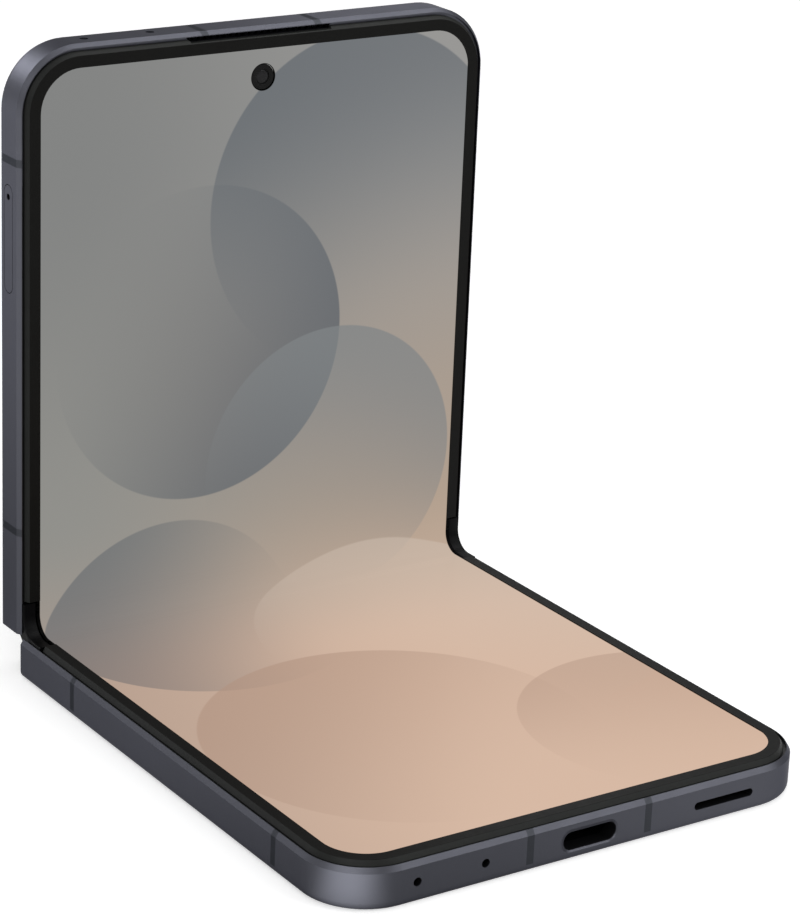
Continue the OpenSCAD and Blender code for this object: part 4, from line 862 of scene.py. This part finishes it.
def studio_floor():
    """Matt white that glows, less to the camera near the phone, where its shadow falls."""
    f = Finish("studio_floor")
    f.set(Base_Color=f.toned((0.78, 0.78, 0.78, 1), tone=0.01, scale=0.004), Roughness=0.9)
    place = f.parts(f.mm)
    shade = FLOOR_MIRRORED
    for axis, start, end, change in FLOOR_SHADES:
        shade = f.math("ADD", f.product(f.smooth(place[axis], start, end), change), shade)
    glint = f.product(patch(f, place, *FLOOR_GLINT), FLOOR_GLINT_LIGHT)
    shade = f.math("ADD", glint, shade)
    near = f.product(patch(f, place, *FLOOR_NEAR), FLOOR_IN_VIEW - 1.0)
    ray = f.add("ShaderNodeLightPath").outputs
    in_view = f.product(ray["Is Camera Ray"], f.math("ADD", near, 1.0))
    seen = f.math("MAXIMUM", ray["Is Camera Ray"], ray["Is Glossy Ray"])
    seen = f.math("MAXIMUM", seen, ray["Is Transmission Ray"])
    mirrored = f.product(f.math("SUBTRACT", seen, ray["Is Camera Ray"]), shade)
    glow = f.add("ShaderNodeEmission")
    glow.inputs["Color"].default_value = (1, 1, 1, 1)
    f.link(f.math("ADD", in_view, mirrored), glow.inputs["Strength"])
    both = f.add("ShaderNodeAddShader")
    f.link(f.shader.outputs[0], both.inputs[0])
    f.link(glow.outputs[0], both.inputs[1])
    f.link(both.outputs[0], f.tree.nodes["Material Output"].inputs["Surface"])
    return f.material


def studio_air():
    """White to the camera and through glass, softer in reflections and dim as a light."""
    world = bpy.data.worlds.new("studio_air")
    world.use_nodes = True
    air = Nodes(world.node_tree)
    ray = air.add("ShaderNodeLightPath").outputs
    seen = air.math("MAXIMUM", ray["Is Camera Ray"], ray["Is Transmission Ray"])
    mirrored = air.spread(ray["Is Glossy Ray"], AIR_LIGHT, AIR_MIRRORED)
    background = air.tree.nodes["Background"]
    background.inputs["Color"].default_value = (1, 1, 1, 1)
    air.link(air.math("MAXIMUM", seen, mirrored), background.inputs["Strength"])
    return world


floor_bm = bmesh.new()
bmesh.ops.create_circle(floor_bm, cap_ends=True, radius=FLOOR_RADIUS, segments=96)
floor_mesh = bpy.data.meshes.new("studio_floor")
floor_bm.to_mesh(floor_mesh)
floor_bm.free()
floor_mesh.materials.append(studio_floor())
floor = bpy.data.objects.new("studio_floor", floor_mesh)
floor.location.z = -FLOOR_DROP
bpy.context.scene.collection.objects.link(floor)

bpy.context.scene.world = studio_air()


# Lamps and camera, in metres and watts

LAMP_AIM = Vector((0, 0.01, 0.04))

# name, place, width and height, power, and whether rough surfaces are lit by it too
SOFTBOXES = [
    ("key_softbox", (-0.55, -0.75, 0.75), (0.6, 0.5), 3.5, True),
    ("side_softbox", (0.6, -0.7, 0.55), (0.5, 0.5), 3.5, True),
    ("top_softbox", (0.0, 0.1, 1.1), (0.8, 0.8), 2.5, True),
    ("rear_glint", (-0.25, 0.48, 0.43), (0.3, 0.3), 3.0, False),
    ("back_right_panel", (0.155, 0.20, 0.185), (0.1, 0.1), 0.072, False),
    ("upper_right_panel", (0.35, -0.05, 0.62), (0.4, 0.4), 2.7, False),
    ("front_left_panel", (-0.375, -0.18, 0.31), (0.25, 0.2), 0.78, False),
    ("back_left_panel", (-0.31, 0.33, 0.14), (0.15, 0.15), 0.065, False),
]

CAMERA_PLACE = (-0.228254, -0.329896, 0.185216)
CAMERA_TURN = (0.7869208, 0.5452037, -0.1810692, -0.2252167)
CAMERA_LENS = 126.2764
CAMERA_SENSOR = 36
CAMERA_NEAR = 0.01

for name, place, size, power, lights_rough in SOFTBOXES:
    lamp = bpy.data.lights.new(name, "AREA")
    lamp.shape = "RECTANGLE"
    lamp.size, lamp.size_y = size
    lamp.energy = power
    lamp_object = bpy.data.objects.new(name, lamp)
    lamp_object.location = place
    aim = LAMP_AIM - Vector(place)
    lamp_object.rotation_euler = aim.to_track_quat("-Z", "Y").to_euler()
    lamp_object.visible_diffuse = lights_rough
    lamp_object.visible_camera = False
    bpy.context.scene.collection.objects.link(lamp_object)

camera_data = bpy.data.cameras.new("front_left_camera")
camera_data.lens = CAMERA_LENS
camera_data.sensor_width = CAMERA_SENSOR
camera_data.clip_start = CAMERA_NEAR
camera = bpy.data.objects.new("front_left_camera", camera_data)
camera.location = CAMERA_PLACE
camera.rotation_mode = "QUATERNION"
camera.rotation_quaternion = Quaternion(CAMERA_TURN)
bpy.context.scene.collection.objects.link(camera)
bpy.context.scene.camera = camera
bpy.context.scene.view_settings.view_transform = "Standard"
